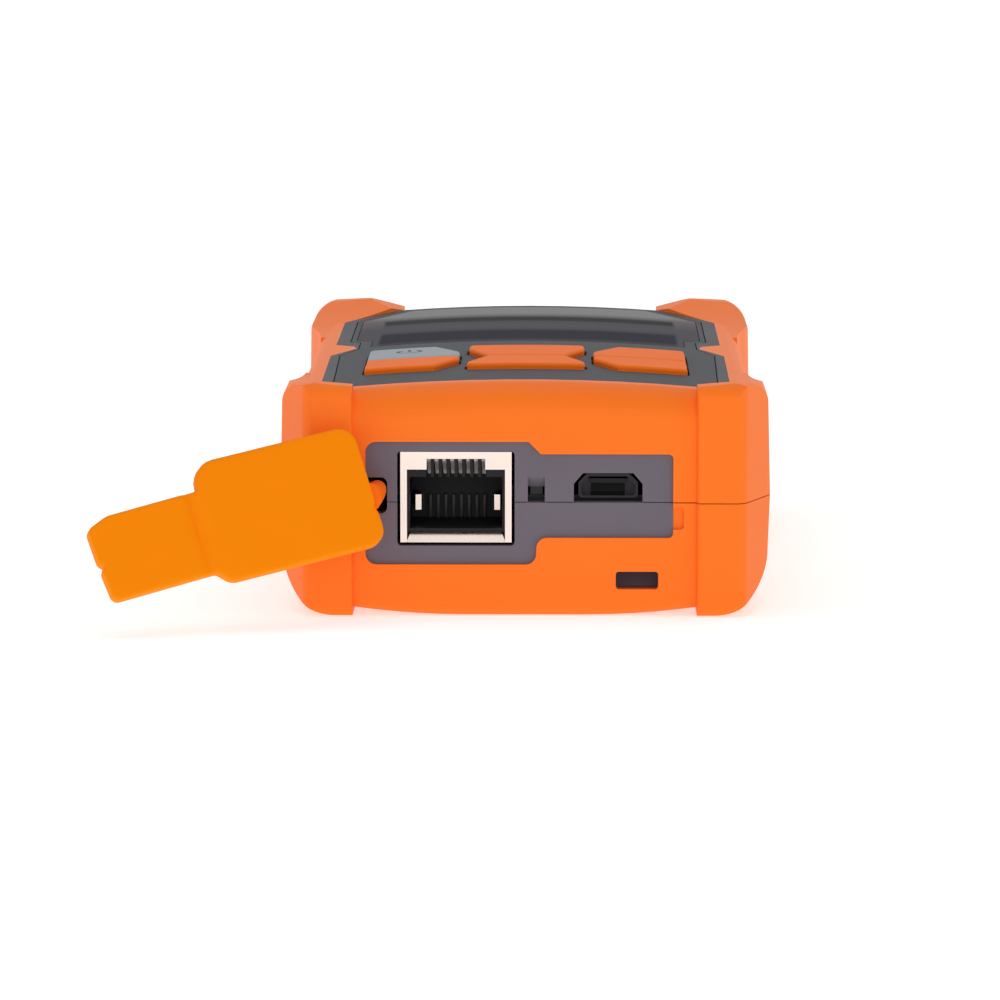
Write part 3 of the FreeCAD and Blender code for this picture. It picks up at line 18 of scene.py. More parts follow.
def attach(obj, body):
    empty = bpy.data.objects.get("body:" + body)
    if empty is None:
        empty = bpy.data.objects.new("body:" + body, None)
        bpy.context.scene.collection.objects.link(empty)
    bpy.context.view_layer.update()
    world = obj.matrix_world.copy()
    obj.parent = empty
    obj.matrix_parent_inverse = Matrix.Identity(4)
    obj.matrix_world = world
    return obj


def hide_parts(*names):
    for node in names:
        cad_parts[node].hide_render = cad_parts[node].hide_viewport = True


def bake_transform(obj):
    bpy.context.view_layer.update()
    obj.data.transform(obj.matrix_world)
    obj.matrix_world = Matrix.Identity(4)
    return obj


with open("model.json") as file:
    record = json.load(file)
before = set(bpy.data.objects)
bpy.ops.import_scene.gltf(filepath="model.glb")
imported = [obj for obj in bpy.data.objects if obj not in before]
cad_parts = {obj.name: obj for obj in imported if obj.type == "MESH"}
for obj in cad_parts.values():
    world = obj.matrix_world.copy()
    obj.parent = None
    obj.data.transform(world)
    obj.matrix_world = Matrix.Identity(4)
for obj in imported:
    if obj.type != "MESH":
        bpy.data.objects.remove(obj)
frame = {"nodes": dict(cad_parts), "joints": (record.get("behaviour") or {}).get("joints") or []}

LOG = logging.getLogger("power_meter")
MM = 0.001
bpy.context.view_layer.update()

Colour = tuple[float, float, float]
Points = list[bmesh.types.BMVert]


class Body(Enum):
    """Bodies that the new pieces ride on."""

    CASE = "case"
    PORT_CAP = "port_cap"
    DETECTOR_CAP = "detector_cap"
    LASER_CAP = "laser_cap"


class Slot(Enum):
    """Material slots of the record, one for each kind of new piece."""

    PORT_CAP = "port_cap"
    SHIELD = "shield"
    SOCKET = "socket"
    DUST_CAP = "dust_cap"
    SCREW = "screw"


def srgb(red: float, green: float, blue: float) -> Colour:
    """Turn a colour as seen on a screen into the linear values that shaders take.

    Args:
        red, green, blue: the colour's parts, 0 to 255.

    Returns:
        The parts from 0 to 1.
    """
    return tuple(
        c / 12.92 if c <= 0.04045 else ((c + 0.055) / 1.055) ** 2.4
        for c in (red / 255, green / 255, blue / 255)
    )


def add_object(name: str, data: bpy.types.ID) -> bpy.types.Object:
    """Add an object to the scene.

    Args:
        name: its name.
        data: its mesh, light or camera.

    Returns:
        The object.
    """
    made = bpy.data.objects.new(name, data)
    bpy.context.scene.collection.objects.link(made)
    return made


# --- shader maths ---


# Where a Mix node keeps its colours: two inputs and the result.
MIX_LOW, MIX_HIGH, MIX_RESULT = 6, 7, 2


class Wire:
    """An output socket that Python's own operators turn into Math nodes."""

    def __init__(self, sheet: "NodeSheet", socket: bpy.types.NodeSocket) -> None:
        """Hold the socket and the sheet that it belongs to.

        Args:
            sheet: the node sheet that new nodes are added to.
            socket: the output socket.
        """
        self.sheet = sheet
        self.socket = socket

    def maths(self, operation: str, *others: "Number") -> "Wire":
        """Add one Math node with this wire as its first value.

        Args:
            operation: the node's operation.
            others: its further values.

        Returns:
            The node's result.
        """
        values = dict(enumerate((self, *others)))
        node = self.sheet.add("ShaderNodeMath", {"operation": operation}, values)
        return Wire(self.sheet, node.outputs[0])

    def __add__(self, other: "Number") -> "Wire":
        """Return the sum."""
        return self.maths("ADD", other)

    def __sub__(self, other: "Number") -> "Wire":
        """Return the difference."""
        return self.maths("SUBTRACT", other)

    def __rsub__(self, other: float) -> "Wire":
        """Return a number less this wire."""
        return (self * -1.0) + other

    def __mul__(self, other: "Number") -> "Wire":
        """Return the product."""
        return self.maths("MULTIPLY", other)

    def __truediv__(self, other: "Number") -> "Wire":
        """Return the quotient."""
        return self.maths("DIVIDE", other)

    def __abs__(self) -> "Wire":
        """Return the size without its sign."""
        return self.maths("ABSOLUTE")

    def clamped(self) -> "Wire":
        """Return the value held between 0 and 1."""
        return self.maths("MINIMUM", 1.0).maths("MAXIMUM", 0.0)

    def at_least(self, other: "Number") -> "Wire":
        """Return the larger of two values."""
        return self.maths("MAXIMUM", other)

    def rise(self, low: float, high: float) -> "Wire":
        """Return 0 below low and 1 above high, with an even slope between them."""
        return ((self - low) / (high - low)).clamped()


Number = Union[Wire, float]
Stops = tuple[tuple[float, int, int, int], ...]


class NodeSheet:
    """A node tree that is filled by one method."""

    def __init__(self, tree: bpy.types.NodeTree) -> None:
        """Empty a node tree and hold it."""
        tree.nodes.clear()
        self.tree = tree
        self.places: Optional[bpy.types.Node] = None

    def add(
        self, kind: str, settings: Optional[dict] = None, sockets: Optional[dict] = None
    ) -> bpy.types.Node:
        """Add a node.

        Args:
            kind: the node's type.
            settings: properties that are set before the sockets, such as an operation. The key "stops"
                gives a colour ramp's stops.
            sockets: input sockets by name or number, each a plain value or a wire.

        Returns:
            The new node.
        """
        node = self.tree.nodes.new(kind)
        for name, value in (settings or {}).items():
            if name == "stops":
                self.set_stops(node.color_ramp, value)
            else:
                setattr(node, name, value)
        for key, value in (sockets or {}).items():
            socket = node.inputs[key]
            if isinstance(value, Wire):
                self.tree.links.new(value.socket, socket)
            elif isinstance(value, tuple) and len(value) == 3 and socket.type == "RGBA":
                socket.default_value = (*value, 1.0)
            else:
                socket.default_value = value
        return node

    @staticmethod
    def set_stops(ramp: bpy.types.ColorRamp, stops: Stops) -> None:
        """Give a colour ramp its stops.

        Args:
            ramp: the ramp.
            stops: place and colour of each stop, the colour as for srgb.
        """
        while len(ramp.elements) > 1:
            ramp.elements.remove(ramp.elements[-1])
        for index, (place, *colour) in enumerate(stops):
            element = ramp.elements[0] if index == 0 else ramp.elements.new(place)
            element.position = place
            element.color = (*srgb(*colour), 1.0)

    def out(
        self, kind: str, settings: Optional[dict] = None, sockets: Optional[dict] = None,
        output: Union[int, str] = 0,
    ) -> Wire:
        """Add a node and take one of its outputs.

        Args:
            kind: the node's type.
            settings: as for add.
            sockets: as for add.
            output: the output's name or number.

        Returns:
            The output as a wire.
        """
        return Wire(self, self.add(kind, settings, sockets).outputs[output])

    def object_place(self) -> Wire:
        """Return the Object coordinates, in metres in the object's own frame."""
        if self.places is None:
            self.places = self.add("ShaderNodeTexCoord")
        return Wire(self, self.places.outputs["Object"])

    def axes(self) -> tuple[Wire, Wire, Wire]:
        """Return the three Object coordinates apart."""
        node = self.add("ShaderNodeSeparateXYZ", None, {0: self.object_place()})
        return tuple(Wire(self, node.outputs[axis]) for axis in range(3))

    def blend(self, factor: Number, low: Union[Wire, Colour], high: Union[Wire, Colour]) -> Wire:
        """Mix two colours.

        Args:
            factor: 0 for the first, 1 for the second.
            low: the first colour.
            high: the second colour.

        Returns:
            The mixed colour.
        """
        values = {"Factor": factor, MIX_LOW: low, MIX_HIGH: high}
        return self.out("ShaderNodeMix", {"data_type": "RGBA"}, values, MIX_RESULT)

    def noise(self, scale: float, detail: float = 2.0, roughness: float = 0.5) -> Wire:
        """Add a noise.

        Args:
            scale: how many cells it has to the metre.
            detail: how many finer layers it has.
            roughness: how strong they are.

        Returns:
            Its value, from 0 to 1.
        """
        return self.out(
            "ShaderNodeTexNoise", None,
            {"Vector": self.object_place(), "Scale": scale, "Detail": detail, "Roughness": roughness},
        )

    def bump(self, height: Wire, distance: float, strength: float = 1.0) -> Wire:
        """Add a bump.

        Args:
            height: what the surface follows, from 0 to 1.
            distance: how far that is, in metres.
            strength: how much of it shows.

        Returns:
            The normal.
        """
        values = {"Height": height, "Distance": distance, "Strength": strength}
        return self.out("ShaderNodeBump", None, values)


# --- finishes ---


CLOUD = 14 * MM  # how wide the slow drift of a surface's tone is
CLOUD_ROUGHNESS, GRAIN_ROUGHNESS = 0.08, 0.06  # how far the drift and the grain move its roughness


@dataclass(frozen=True)
class Finish:
    """A plain moulded finish with a fine grain.

    Attributes:
        name: the material's name.
        colour: linear.
        roughness: how matte it is.
        grain: size of the surface's grain.
        grain_depth: height of the grain.
        mottle: how far the colour wanders, as a share.
        metallic: 1 for metal.
        specular: strength of the reflection at right angles.
    """

    name: str
    colour: Colour
    roughness: float = 0.5
    grain: float = 0.35 * MM
    grain_depth: float = 0.006 * MM
    mottle: float = 0.04
    metallic: float = 0.0
    specular: float = 0.5

    def shade(self, sheet: NodeSheet) -> Wire:
        """Fill the sheet and return the surface's shader."""
        return sheet.out("ShaderNodeBsdfPrincipled", None, self.sockets(sheet), "BSDF")

    def sockets(self, sheet: NodeSheet) -> dict:
        """Work out the shader's sockets, so that a finish can change some of them.

        Args:
            sheet: the material's node sheet.

        Returns:
            Values and wires by the socket's name.
        """
        cloud = sheet.noise(1 / CLOUD, 3.0)
        fine = sheet.noise(1 / self.grain, 2.0)
        smoothest = self.roughness - (CLOUD_ROUGHNESS + GRAIN_ROUGHNESS) / 2
        dark = tuple(c * (1 - self.mottle) for c in self.colour)
        light = tuple(min(1.0, c * (1 + self.mottle)) for c in self.colour)
        return {
            "Base Color": sheet.blend(cloud.rise(0.3, 0.7), dark, light),
            "Roughness": (cloud * CLOUD_ROUGHNESS + fine * GRAIN_ROUGHNESS + smoothest).clamped(),
            "Metallic": self.metallic,
            "Specular IOR Level": self.specular,
            "Normal": sheet.bump(fine, self.grain_depth),
        }

    def material(self) -> bpy.types.Material:
        """Make the material.

        Returns:
            The material, under the finish's name.
        """
        made = bpy.data.materials.new(self.name)
        made.use_nodes = True
        sheet = NodeSheet(made.node_tree)
        sheet.add("ShaderNodeOutputMaterial", None, {"Surface": self.shade(sheet)})
        return made


SKIN = Finish(
    "orange_skin", srgb(255, 120, 28), 0.48, grain=0.25 * MM, grain_depth=0.004 * MM, mottle=0.02,
    specular=0.15,
)
CAP_RUBBER = Finish("cap_rubber", srgb(255, 139, 0), 0.55, grain=0.3 * MM, mottle=0.012, specular=0.06)
# The strap is the cap's own rubber, coloured darker and redder as painted shade.
SHADED_STRAP_RUBBER = Finish("shaded_strap_rubber", srgb(255, 112, 12), 0.55, grain=0.3 * MM, mottle=0.012, specular=0.1)
FACE = Finish("face_plate", srgb(78, 80, 84), 0.6, grain=0.2 * MM, specular=0.05)
ORANGE_KEY = Finish("orange_key", srgb(255, 118, 26), 0.55, mottle=0.02, specular=0.08)
SCREEN = Finish("screen", srgb(40, 42, 48), 0.3)
WHITE = Finish("light_guide", srgb(225, 225, 220), 0.6)
BOARD = Finish("circuit_board", srgb(14, 44, 30), 0.5)
MAT = Finish("keypad_mat", srgb(200, 200, 195), 0.6)
STEEL = Finish("plated_steel", srgb(190, 188, 184), 0.32, metallic=1.0)
COMB = Finish("comb_plastic", srgb(58, 54, 58), 0.45, specular=0.3)
BLACK = Finish("black_plastic", srgb(24, 22, 26), 0.5, specular=0.2)
FOAM = Finish("foam", srgb(40, 40, 42), 0.9)
WRAP = Finish("battery_wrap", srgb(60, 90, 140), 0.4)
TIN = Finish("tinned_shield", srgb(230, 214, 204), 0.27, grain=4 * MM, metallic=1.0)
# The charging socket's metal shell is made nearly black: painted shade of the recess it sits in.
SHADE_DARKENED_TIN = Finish("charging_shell", srgb(50, 46, 50), 0.2, metallic=1.0)
# Near-white with little metal: the base colour stands in for the contacts' bright glints, a painted
# highlight.
GOLD_WITH_PAINTED_GLINT = Finish("gold_contact_painted_glint", srgb(255, 250, 242), 0.3, metallic=0.1, specular=0.9)
# The charge lamp is coloured nearly black: painted shade of the hole it sits in.
SHADE_DARKENED_LAMP = Finish("lamp", srgb(26, 24, 28), 0.3)
TORCH_LED = Finish("torch_lamp", srgb(235, 230, 190), 0.35)
NICKEL = Finish("nickel", srgb(205, 202, 196), 0.25, metallic=1.0)
LENS = Finish("torch_lens", srgb(225, 232, 240), 0.1)
DUST_CAP = Finish("dust_cap", srgb(34, 34, 36), 0.6)


@dataclass(frozen=True)
class HousingFinish(Finish):
    """Grey moulded shell, darker where it shows beside the face plate.

    Attributes:
        deck_colour: the colour beside the face plate.
        deck_height: the height from which it is that colour.
        soft: over how much height it changes.
    """

    deck_colour: Colour = srgb(60, 62, 68)
    deck_height: float = 24 * MM
    soft: float = 0.5 * MM

    def sockets(self, sheet: NodeSheet) -> dict:
        """Work out the sockets, with the deck's colour mixed in.

        Args:
            sheet: the material's node sheet.

        Returns:
            Values and wires by the socket's name.
        """
        sockets = super().sockets(sheet)
        deck = sheet.axes()[2].rise(self.deck_height, self.deck_height + self.soft)
        sockets["Base Color"] = sheet.blend(deck, sockets["Base Color"], self.deck_colour)
        return sockets


@dataclass(frozen=True)
class PowerKeyFinish(Finish):
    """Grey key with a printed power mark.

    Attributes:
        mark: the mark's colour.
        centre: the mark's place on the key.
        radius: of its ring.
        stroke: how wide its lines are.
        soft: how wide their soft edges are.
        bar_reach: how far the bar reaches from the centre, in radii.
    """

    mark: Colour = srgb(66, 72, 84)
    centre: tuple[float, float] = (-15.9 * MM, -18.4 * MM)
    radius: float = 1.55 * MM
    stroke: float = 0.42 * MM
    soft: float = 0.06 * MM
    bar_reach: float = 1.25

    def sockets(self, sheet: NodeSheet) -> dict:
        """Work out the sockets, with the mark printed on the top.

        Args:
            sheet: the material's node sheet.

        Returns:
            Values and wires by the socket's name.
        """
        sockets = super().sockets(sheet)
        x, y, _ = sheet.axes()
        across, along = x - self.centre[0], y - self.centre[1]
        half, gap, soft, bar_end = self.stroke / 2, self.radius / 2, self.soft, self.radius * self.bar_reach
        reach = (across * across + along * along).maths("SQRT")
        ring = 1.0 - abs(reach - self.radius).rise(half, half + soft)
        opening = along.rise(0.0, soft) * (1.0 - abs(across).rise(gap, gap + soft))
        bar = (1.0 - abs(across).rise(half, half + soft)) * along.rise(-soft, 0.0)
        bar = bar * (1.0 - along.rise(bar_end, bar_end + soft))
        print_mask = (ring * (1.0 - opening)).at_least(bar)
        sockets["Base Color"] = sheet.blend(print_mask, sockets["Base Color"], self.mark)
        return sockets


@dataclass(frozen=True)
class WindowFinish(Finish):
    """Window pane: a printed border round the display behind it, with painted reflection and painted shade
    laid over both in bands.

    Attributes:
        view_half: half the display's width.
        soft: how wide the border's soft edge is.
        depth: length of the pane that the stops divide.
        view_and_painted_light_stops: the display's tones from the keys to the far end: its own grey, a
            painted reflection as the dark band near the keys, a painted shadow of the bezel as the dark band
            at its far edge, and a painted reflection that lightens the far end.
        border_and_reflection_stops: the border's tones, lighter towards the far end as a painted reflection.
        gloss, gloss_blur: the share of light that the pane mirrors and its roughness.
    """

    view_half: float = 20.5 * MM
    soft: float = 0.5 * MM
    depth: float = 50 * MM
    view_and_painted_light_stops: Stops = (
        (0.0, 72, 72, 78), (0.04, 66, 66, 74), (0.07, 46, 46, 56), (0.27, 46, 48, 58), (0.35, 84, 83, 90),
        (0.42, 90, 90, 95), (0.54, 86, 86, 91), (0.59, 56, 54, 58), (0.66, 56, 54, 58),
        (0.72, 120, 118, 119), (0.79, 150, 148, 149), (1.0, 150, 148, 149),
    )
    border_and_reflection_stops: Stops = (
        (0.0, 86, 86, 92), (0.45, 90, 88, 92), (0.7, 116, 112, 114), (0.8, 148, 145, 146),
        (1.0, 150, 148, 149),
    )
    gloss: float = 0.03
    gloss_blur: float = 0.16

    def sockets(self, sheet: NodeSheet) -> dict:
        """Work out the sockets, with the display's tones inside the border, painted reflection and painted
        shade among them.

        Args:
            sheet: the material's node sheet.

        Returns:
            Values and wires by the socket's name.
        """
        sockets = super().sockets(sheet)
        x, y, _ = sheet.axes()
        place = (y / self.depth).clamped()
        # The ramps paint light into the colour: painted reflection bands and a painted bezel shadow over the
        # display's grey, and a painted reflection that lightens the far end of both.
        display, border = (
            sheet.out("ShaderNodeValToRGB", {"stops": stops}, {"Fac": place})
            for stops in (self.view_and_painted_light_stops, self.border_and_reflection_stops)
        )
        outside = abs(x).rise(self.view_half, self.view_half + self.soft)
        sockets["Base Color"] = sheet.blend(outside, display, border)
        return sockets

    def shade(self, sheet: NodeSheet) -> Wire:
        """Fill the sheet, with a gloss that stays weak at every angle, as on a pane treated against glare.

        Args:
            sheet: the material's node sheet.

        Returns:
            The pane's shader.
        """
        print_shade = super().shade(sheet)
        mirror = {"Base Color": (1.0, 1.0, 1.0), "Metallic": 1.0, "Roughness": self.gloss_blur}
        gloss = sheet.out("ShaderNodeBsdfPrincipled", None, mirror)
        return sheet.out("ShaderNodeMixShader", None, {0: self.gloss, 1: print_shade, 2: gloss})


HOUSING = HousingFinish(
    "grey_housing", srgb(108, 102, 112), 0.55, grain=0.3 * MM, grain_depth=0.01 * MM, specular=0.14,
)
POWER_KEY = PowerKeyFinish("grey_key", srgb(164, 172, 178), 0.55, mottle=0.02, specular=0.06)
WINDOW = WindowFinish("window", srgb(60, 60, 64), 0.22, grain_depth=0.001 * MM, specular=0.0)

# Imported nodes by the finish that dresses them. A finish without nodes is for new pieces only.
DRESSES: dict[Finish, tuple[str, ...]] = {
    SKIN: ("front_grip", "rear_grip"),
    CAP_RUBBER: ("port_cap",),
    HOUSING: ("front_housing", "rear_housing"),
    FACE: ("fascia",),
    ORANGE_KEY: ("key_near_left", "key_far_middle", "key_near_middle", "key_far_right", "key_near_right"),
    POWER_KEY: ("key_power",),
    WINDOW: ("display_window",),
    SCREEN: ("display_panel",),
    WHITE: ("display_carrier",),
    BOARD: ("main_board", "port_board"),
    MAT: ("keypad_mat",),
    STEEL: ("case_screws", "board_screws"),
    BLACK: ("board_header", "network_socket_body", "usb_socket_tongue"),
    FOAM: ("battery_pad",),
    WRAP: ("battery_cell",),
    TIN: ("network_socket_shield",),
    SHADE_DARKENED_TIN: ("usb_socket_shell",),
    GOLD_WITH_PAINTED_GLINT: ("network_socket_contacts", "detector_diode"),
    SHADE_DARKENED_LAMP: ("charge_lamp",),
    TORCH_LED: ("torch_lamp",),
    NICKEL: ("detector_adapter", "laser_port", "laser_module"),
    LENS: ("torch_lens",),
    DUST_CAP: ("detector_cap", "laser_cap"),
    SHADED_STRAP_RUBBER: (),
    COMB: (),
}
Materials = dict[Finish, bpy.types.Material]


def cap_joint() -> dict:
    """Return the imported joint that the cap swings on."""
    return next(joint for joint in frame["joints"] if joint["name"] == "cap_swing")


def dress_frame() -> Materials:
    """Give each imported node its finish.

    Returns:
        Every material by its finish.
    """
    materials = {}
    for finish, names in DRESSES.items():
        material = materials[finish] = finish.material()
        for name in names:
            mesh = frame["nodes"][name].data
            mesh.materials.clear()
            mesh.materials.append(material)
    return materials


# --- modelling ---


CORNER_SEGMENTS = 6
TOLERANCE = 1e-4


class Easing(Enum):
    """What a rounding works on."""

    EDGES = "EDGES"
    CORNERS = "VERTICES"


class Form:
    """A shape under work in millimetres, made with bmesh operators and finished as a piece in metres."""

    def __init__(self) -> None:
        """Start empty."""
        self.mesh = bmesh.new()

    def outline(self, corners: Sequence[tuple[float, float, float]], depth: float) -> bmesh.types.BMFace:
        """Draw a flat outline and round its corners.

        Args:
            corners: across, height and radius of each corner.
            depth: where the outline lies along the case.

        Returns:
            The outline's face.
        """
        points = [self.mesh.verts.new((x, depth, z)) for x, z, _ in corners]
        self.mesh.faces.new(points)
        for point, (_, _, radius) in zip(points, corners):
            if radius:
                self.ease([point], radius, CORNER_SEGMENTS, Easing.CORNERS)
        self.mesh.faces.ensure_lookup_table()
        return self.mesh.faces[-1]

    @staticmethod
    def new_points(grown: dict) -> Points:
        """Return the points among what an extrusion made."""
        return [item for item in grown["geom"] if isinstance(item, bmesh.types.BMVert)]

    def thicken(self, face: bmesh.types.BMFace, thickness: float) -> None:
        """Extrude a flat face along the case.

        Args:
            face: the flat face.
            thickness: how far its copy moves.
        """
        grown = bmesh.ops.extrude_face_region(self.mesh, geom=[face])
        bmesh.ops.translate(self.mesh, verts=self.new_points(grown), vec=(0.0, thickness, 0.0))

    def ease(
        self, parts: Iterable[Union[bmesh.types.BMEdge, bmesh.types.BMVert]], radius: float,
        segments: int = 3, kind: Easing = Easing.EDGES,
    ) -> None:
        """Round some edges or corners.

        Args:
            parts: what to round.
            radius: how wide the rounding is.
            segments: how many faces it has.
            kind: whether the parts are edges or corners.
        """
        bmesh.ops.bevel(
            self.mesh, geom=list(parts), offset=radius, offset_type="OFFSET", segments=segments, profile=0.5,
            affect=kind.value, clamp_overlap=kind is Easing.EDGES, material=-1,
        )

    def slice(self, axis: int, places: Iterable[float]) -> None:
        """Cut every face along planes square to an axis, to give later bends something to bend.

        Args:
            axis: 0, 1 or 2 for across, along and up.
            places: where the planes lie.
        """
        normal = Vector([float(axis == other) for other in range(3)])
        for place in places:
            everything = [*self.mesh.verts, *self.mesh.edges, *self.mesh.faces]
            bmesh.ops.bisect_plane(self.mesh, geom=everything, plane_co=normal * place, plane_no=normal)

    def block(self, low: Vector, high: Vector) -> Points:
        """Add a box between two corners.

        Args:
            low: its lowest corner.
            high: its highest corner.

        Returns:
            Its eight points.
        """
        made = bmesh.ops.create_cube(self.mesh, size=1.0)
        bmesh.ops.scale(self.mesh, verts=made["verts"], vec=high - low)
        bmesh.ops.translate(self.mesh, verts=made["verts"], vec=(low + high) / 2)
        return made["verts"]

    def ring(self, centre: Vector, wide: float, tall: float, segments: int = 24) -> Points:
        """Add an oval of points that faces along the case.

        Args:
            centre: its middle.
            wide: half its width.
            tall: half its height.
            segments: how many points it has.

        Returns:
            Its points.
        """
        made = bmesh.ops.create_circle(self.mesh, radius=1.0, segments=segments)
        place = Matrix.Translation(centre) @ Matrix.Rotation(math.radians(90), 4, "X")
        place = place @ Matrix.Diagonal((wide, tall, 1.0, 1.0))
        bmesh.ops.transform(self.mesh, verts=made["verts"], matrix=place)
        return made["verts"]

    def grow(
        self, ring: Points, step: Sequence[float], scale: Sequence[float] = (1.0, 1.0, 1.0)
    ) -> Points:
        """Extrude a loop of points, then move and scale its copy about its own centre.

        Args:
            ring: the loop's points.
            step: how far the copy moves.
            scale: how much it grows in each direction.

        Returns:
            The copy's points.
        """
        new = self.new_points(bmesh.ops.extrude_edge_only(self.mesh, edges=self.loop_edges(ring)))
        centre = sum((point.co for point in new), Vector()) / len(new)
        bmesh.ops.scale(self.mesh, verts=new, vec=scale, space=Matrix.Translation(-centre))
        bmesh.ops.translate(self.mesh, verts=new, vec=step)
        return new

    def loop_edges(self, ring: Points) -> list[bmesh.types.BMEdge]:
        """Return the edges that join a loop's points."""
        points = set(ring)
        return [edge for edge in self.mesh.edges if points.issuperset(edge.verts)]

    def close(self, ring: Points) -> None:
        """Fill a loop."""
        bmesh.ops.edgeloop_fill(self.mesh, edges=self.loop_edges(ring))

    def turn_outwards(self) -> None:
        """Point every face outwards."""
        bmesh.ops.recalc_face_normals(self.mesh, faces=self.mesh.faces)

    def finish(
        self, name: str, material: bpy.types.Material, slot: Slot, body: Optional[Body] = None,
        crease: float = 35.0,
    ) -> bpy.types.Object:
        """Make the piece.

        Args:
            name: the piece's name.
            material: its finish.
            slot: the record's material slot of the piece; not used.
            body: the body that it rides on, or none for a piece that rides on none.
            crease: edges sharper than this, in degrees, stay crisp.

        Returns:
            The piece's object.
        """
        self.turn_outwards()
        bmesh.ops.scale(self.mesh, verts=self.mesh.verts, vec=(MM, MM, MM))
        mesh = bpy.data.meshes.new(name)
        self.mesh.to_mesh(mesh)
        self.mesh.free()
        mesh.shade_smooth()
        mesh.set_sharp_from_angle(angle=math.radians(crease))
        mesh.materials.append(material)
        piece = add_object(name, mesh)
        if body:
            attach(piece, body.value)
        LOG.info("%s: %d faces", name, len(mesh.polygons))
        return piece


def span(low: float, high: float, step: float) -> list[float]:
    """Space places evenly.

    Args:
        low: the first place.
        high: the last place.
        step: about how far apart they are.

    Returns:
        The places.
    """
    count = round((high - low) / step)
    return [low + (high - low) * index / count for index in range(count + 1)]


# --- rubber cap of the sockets ---


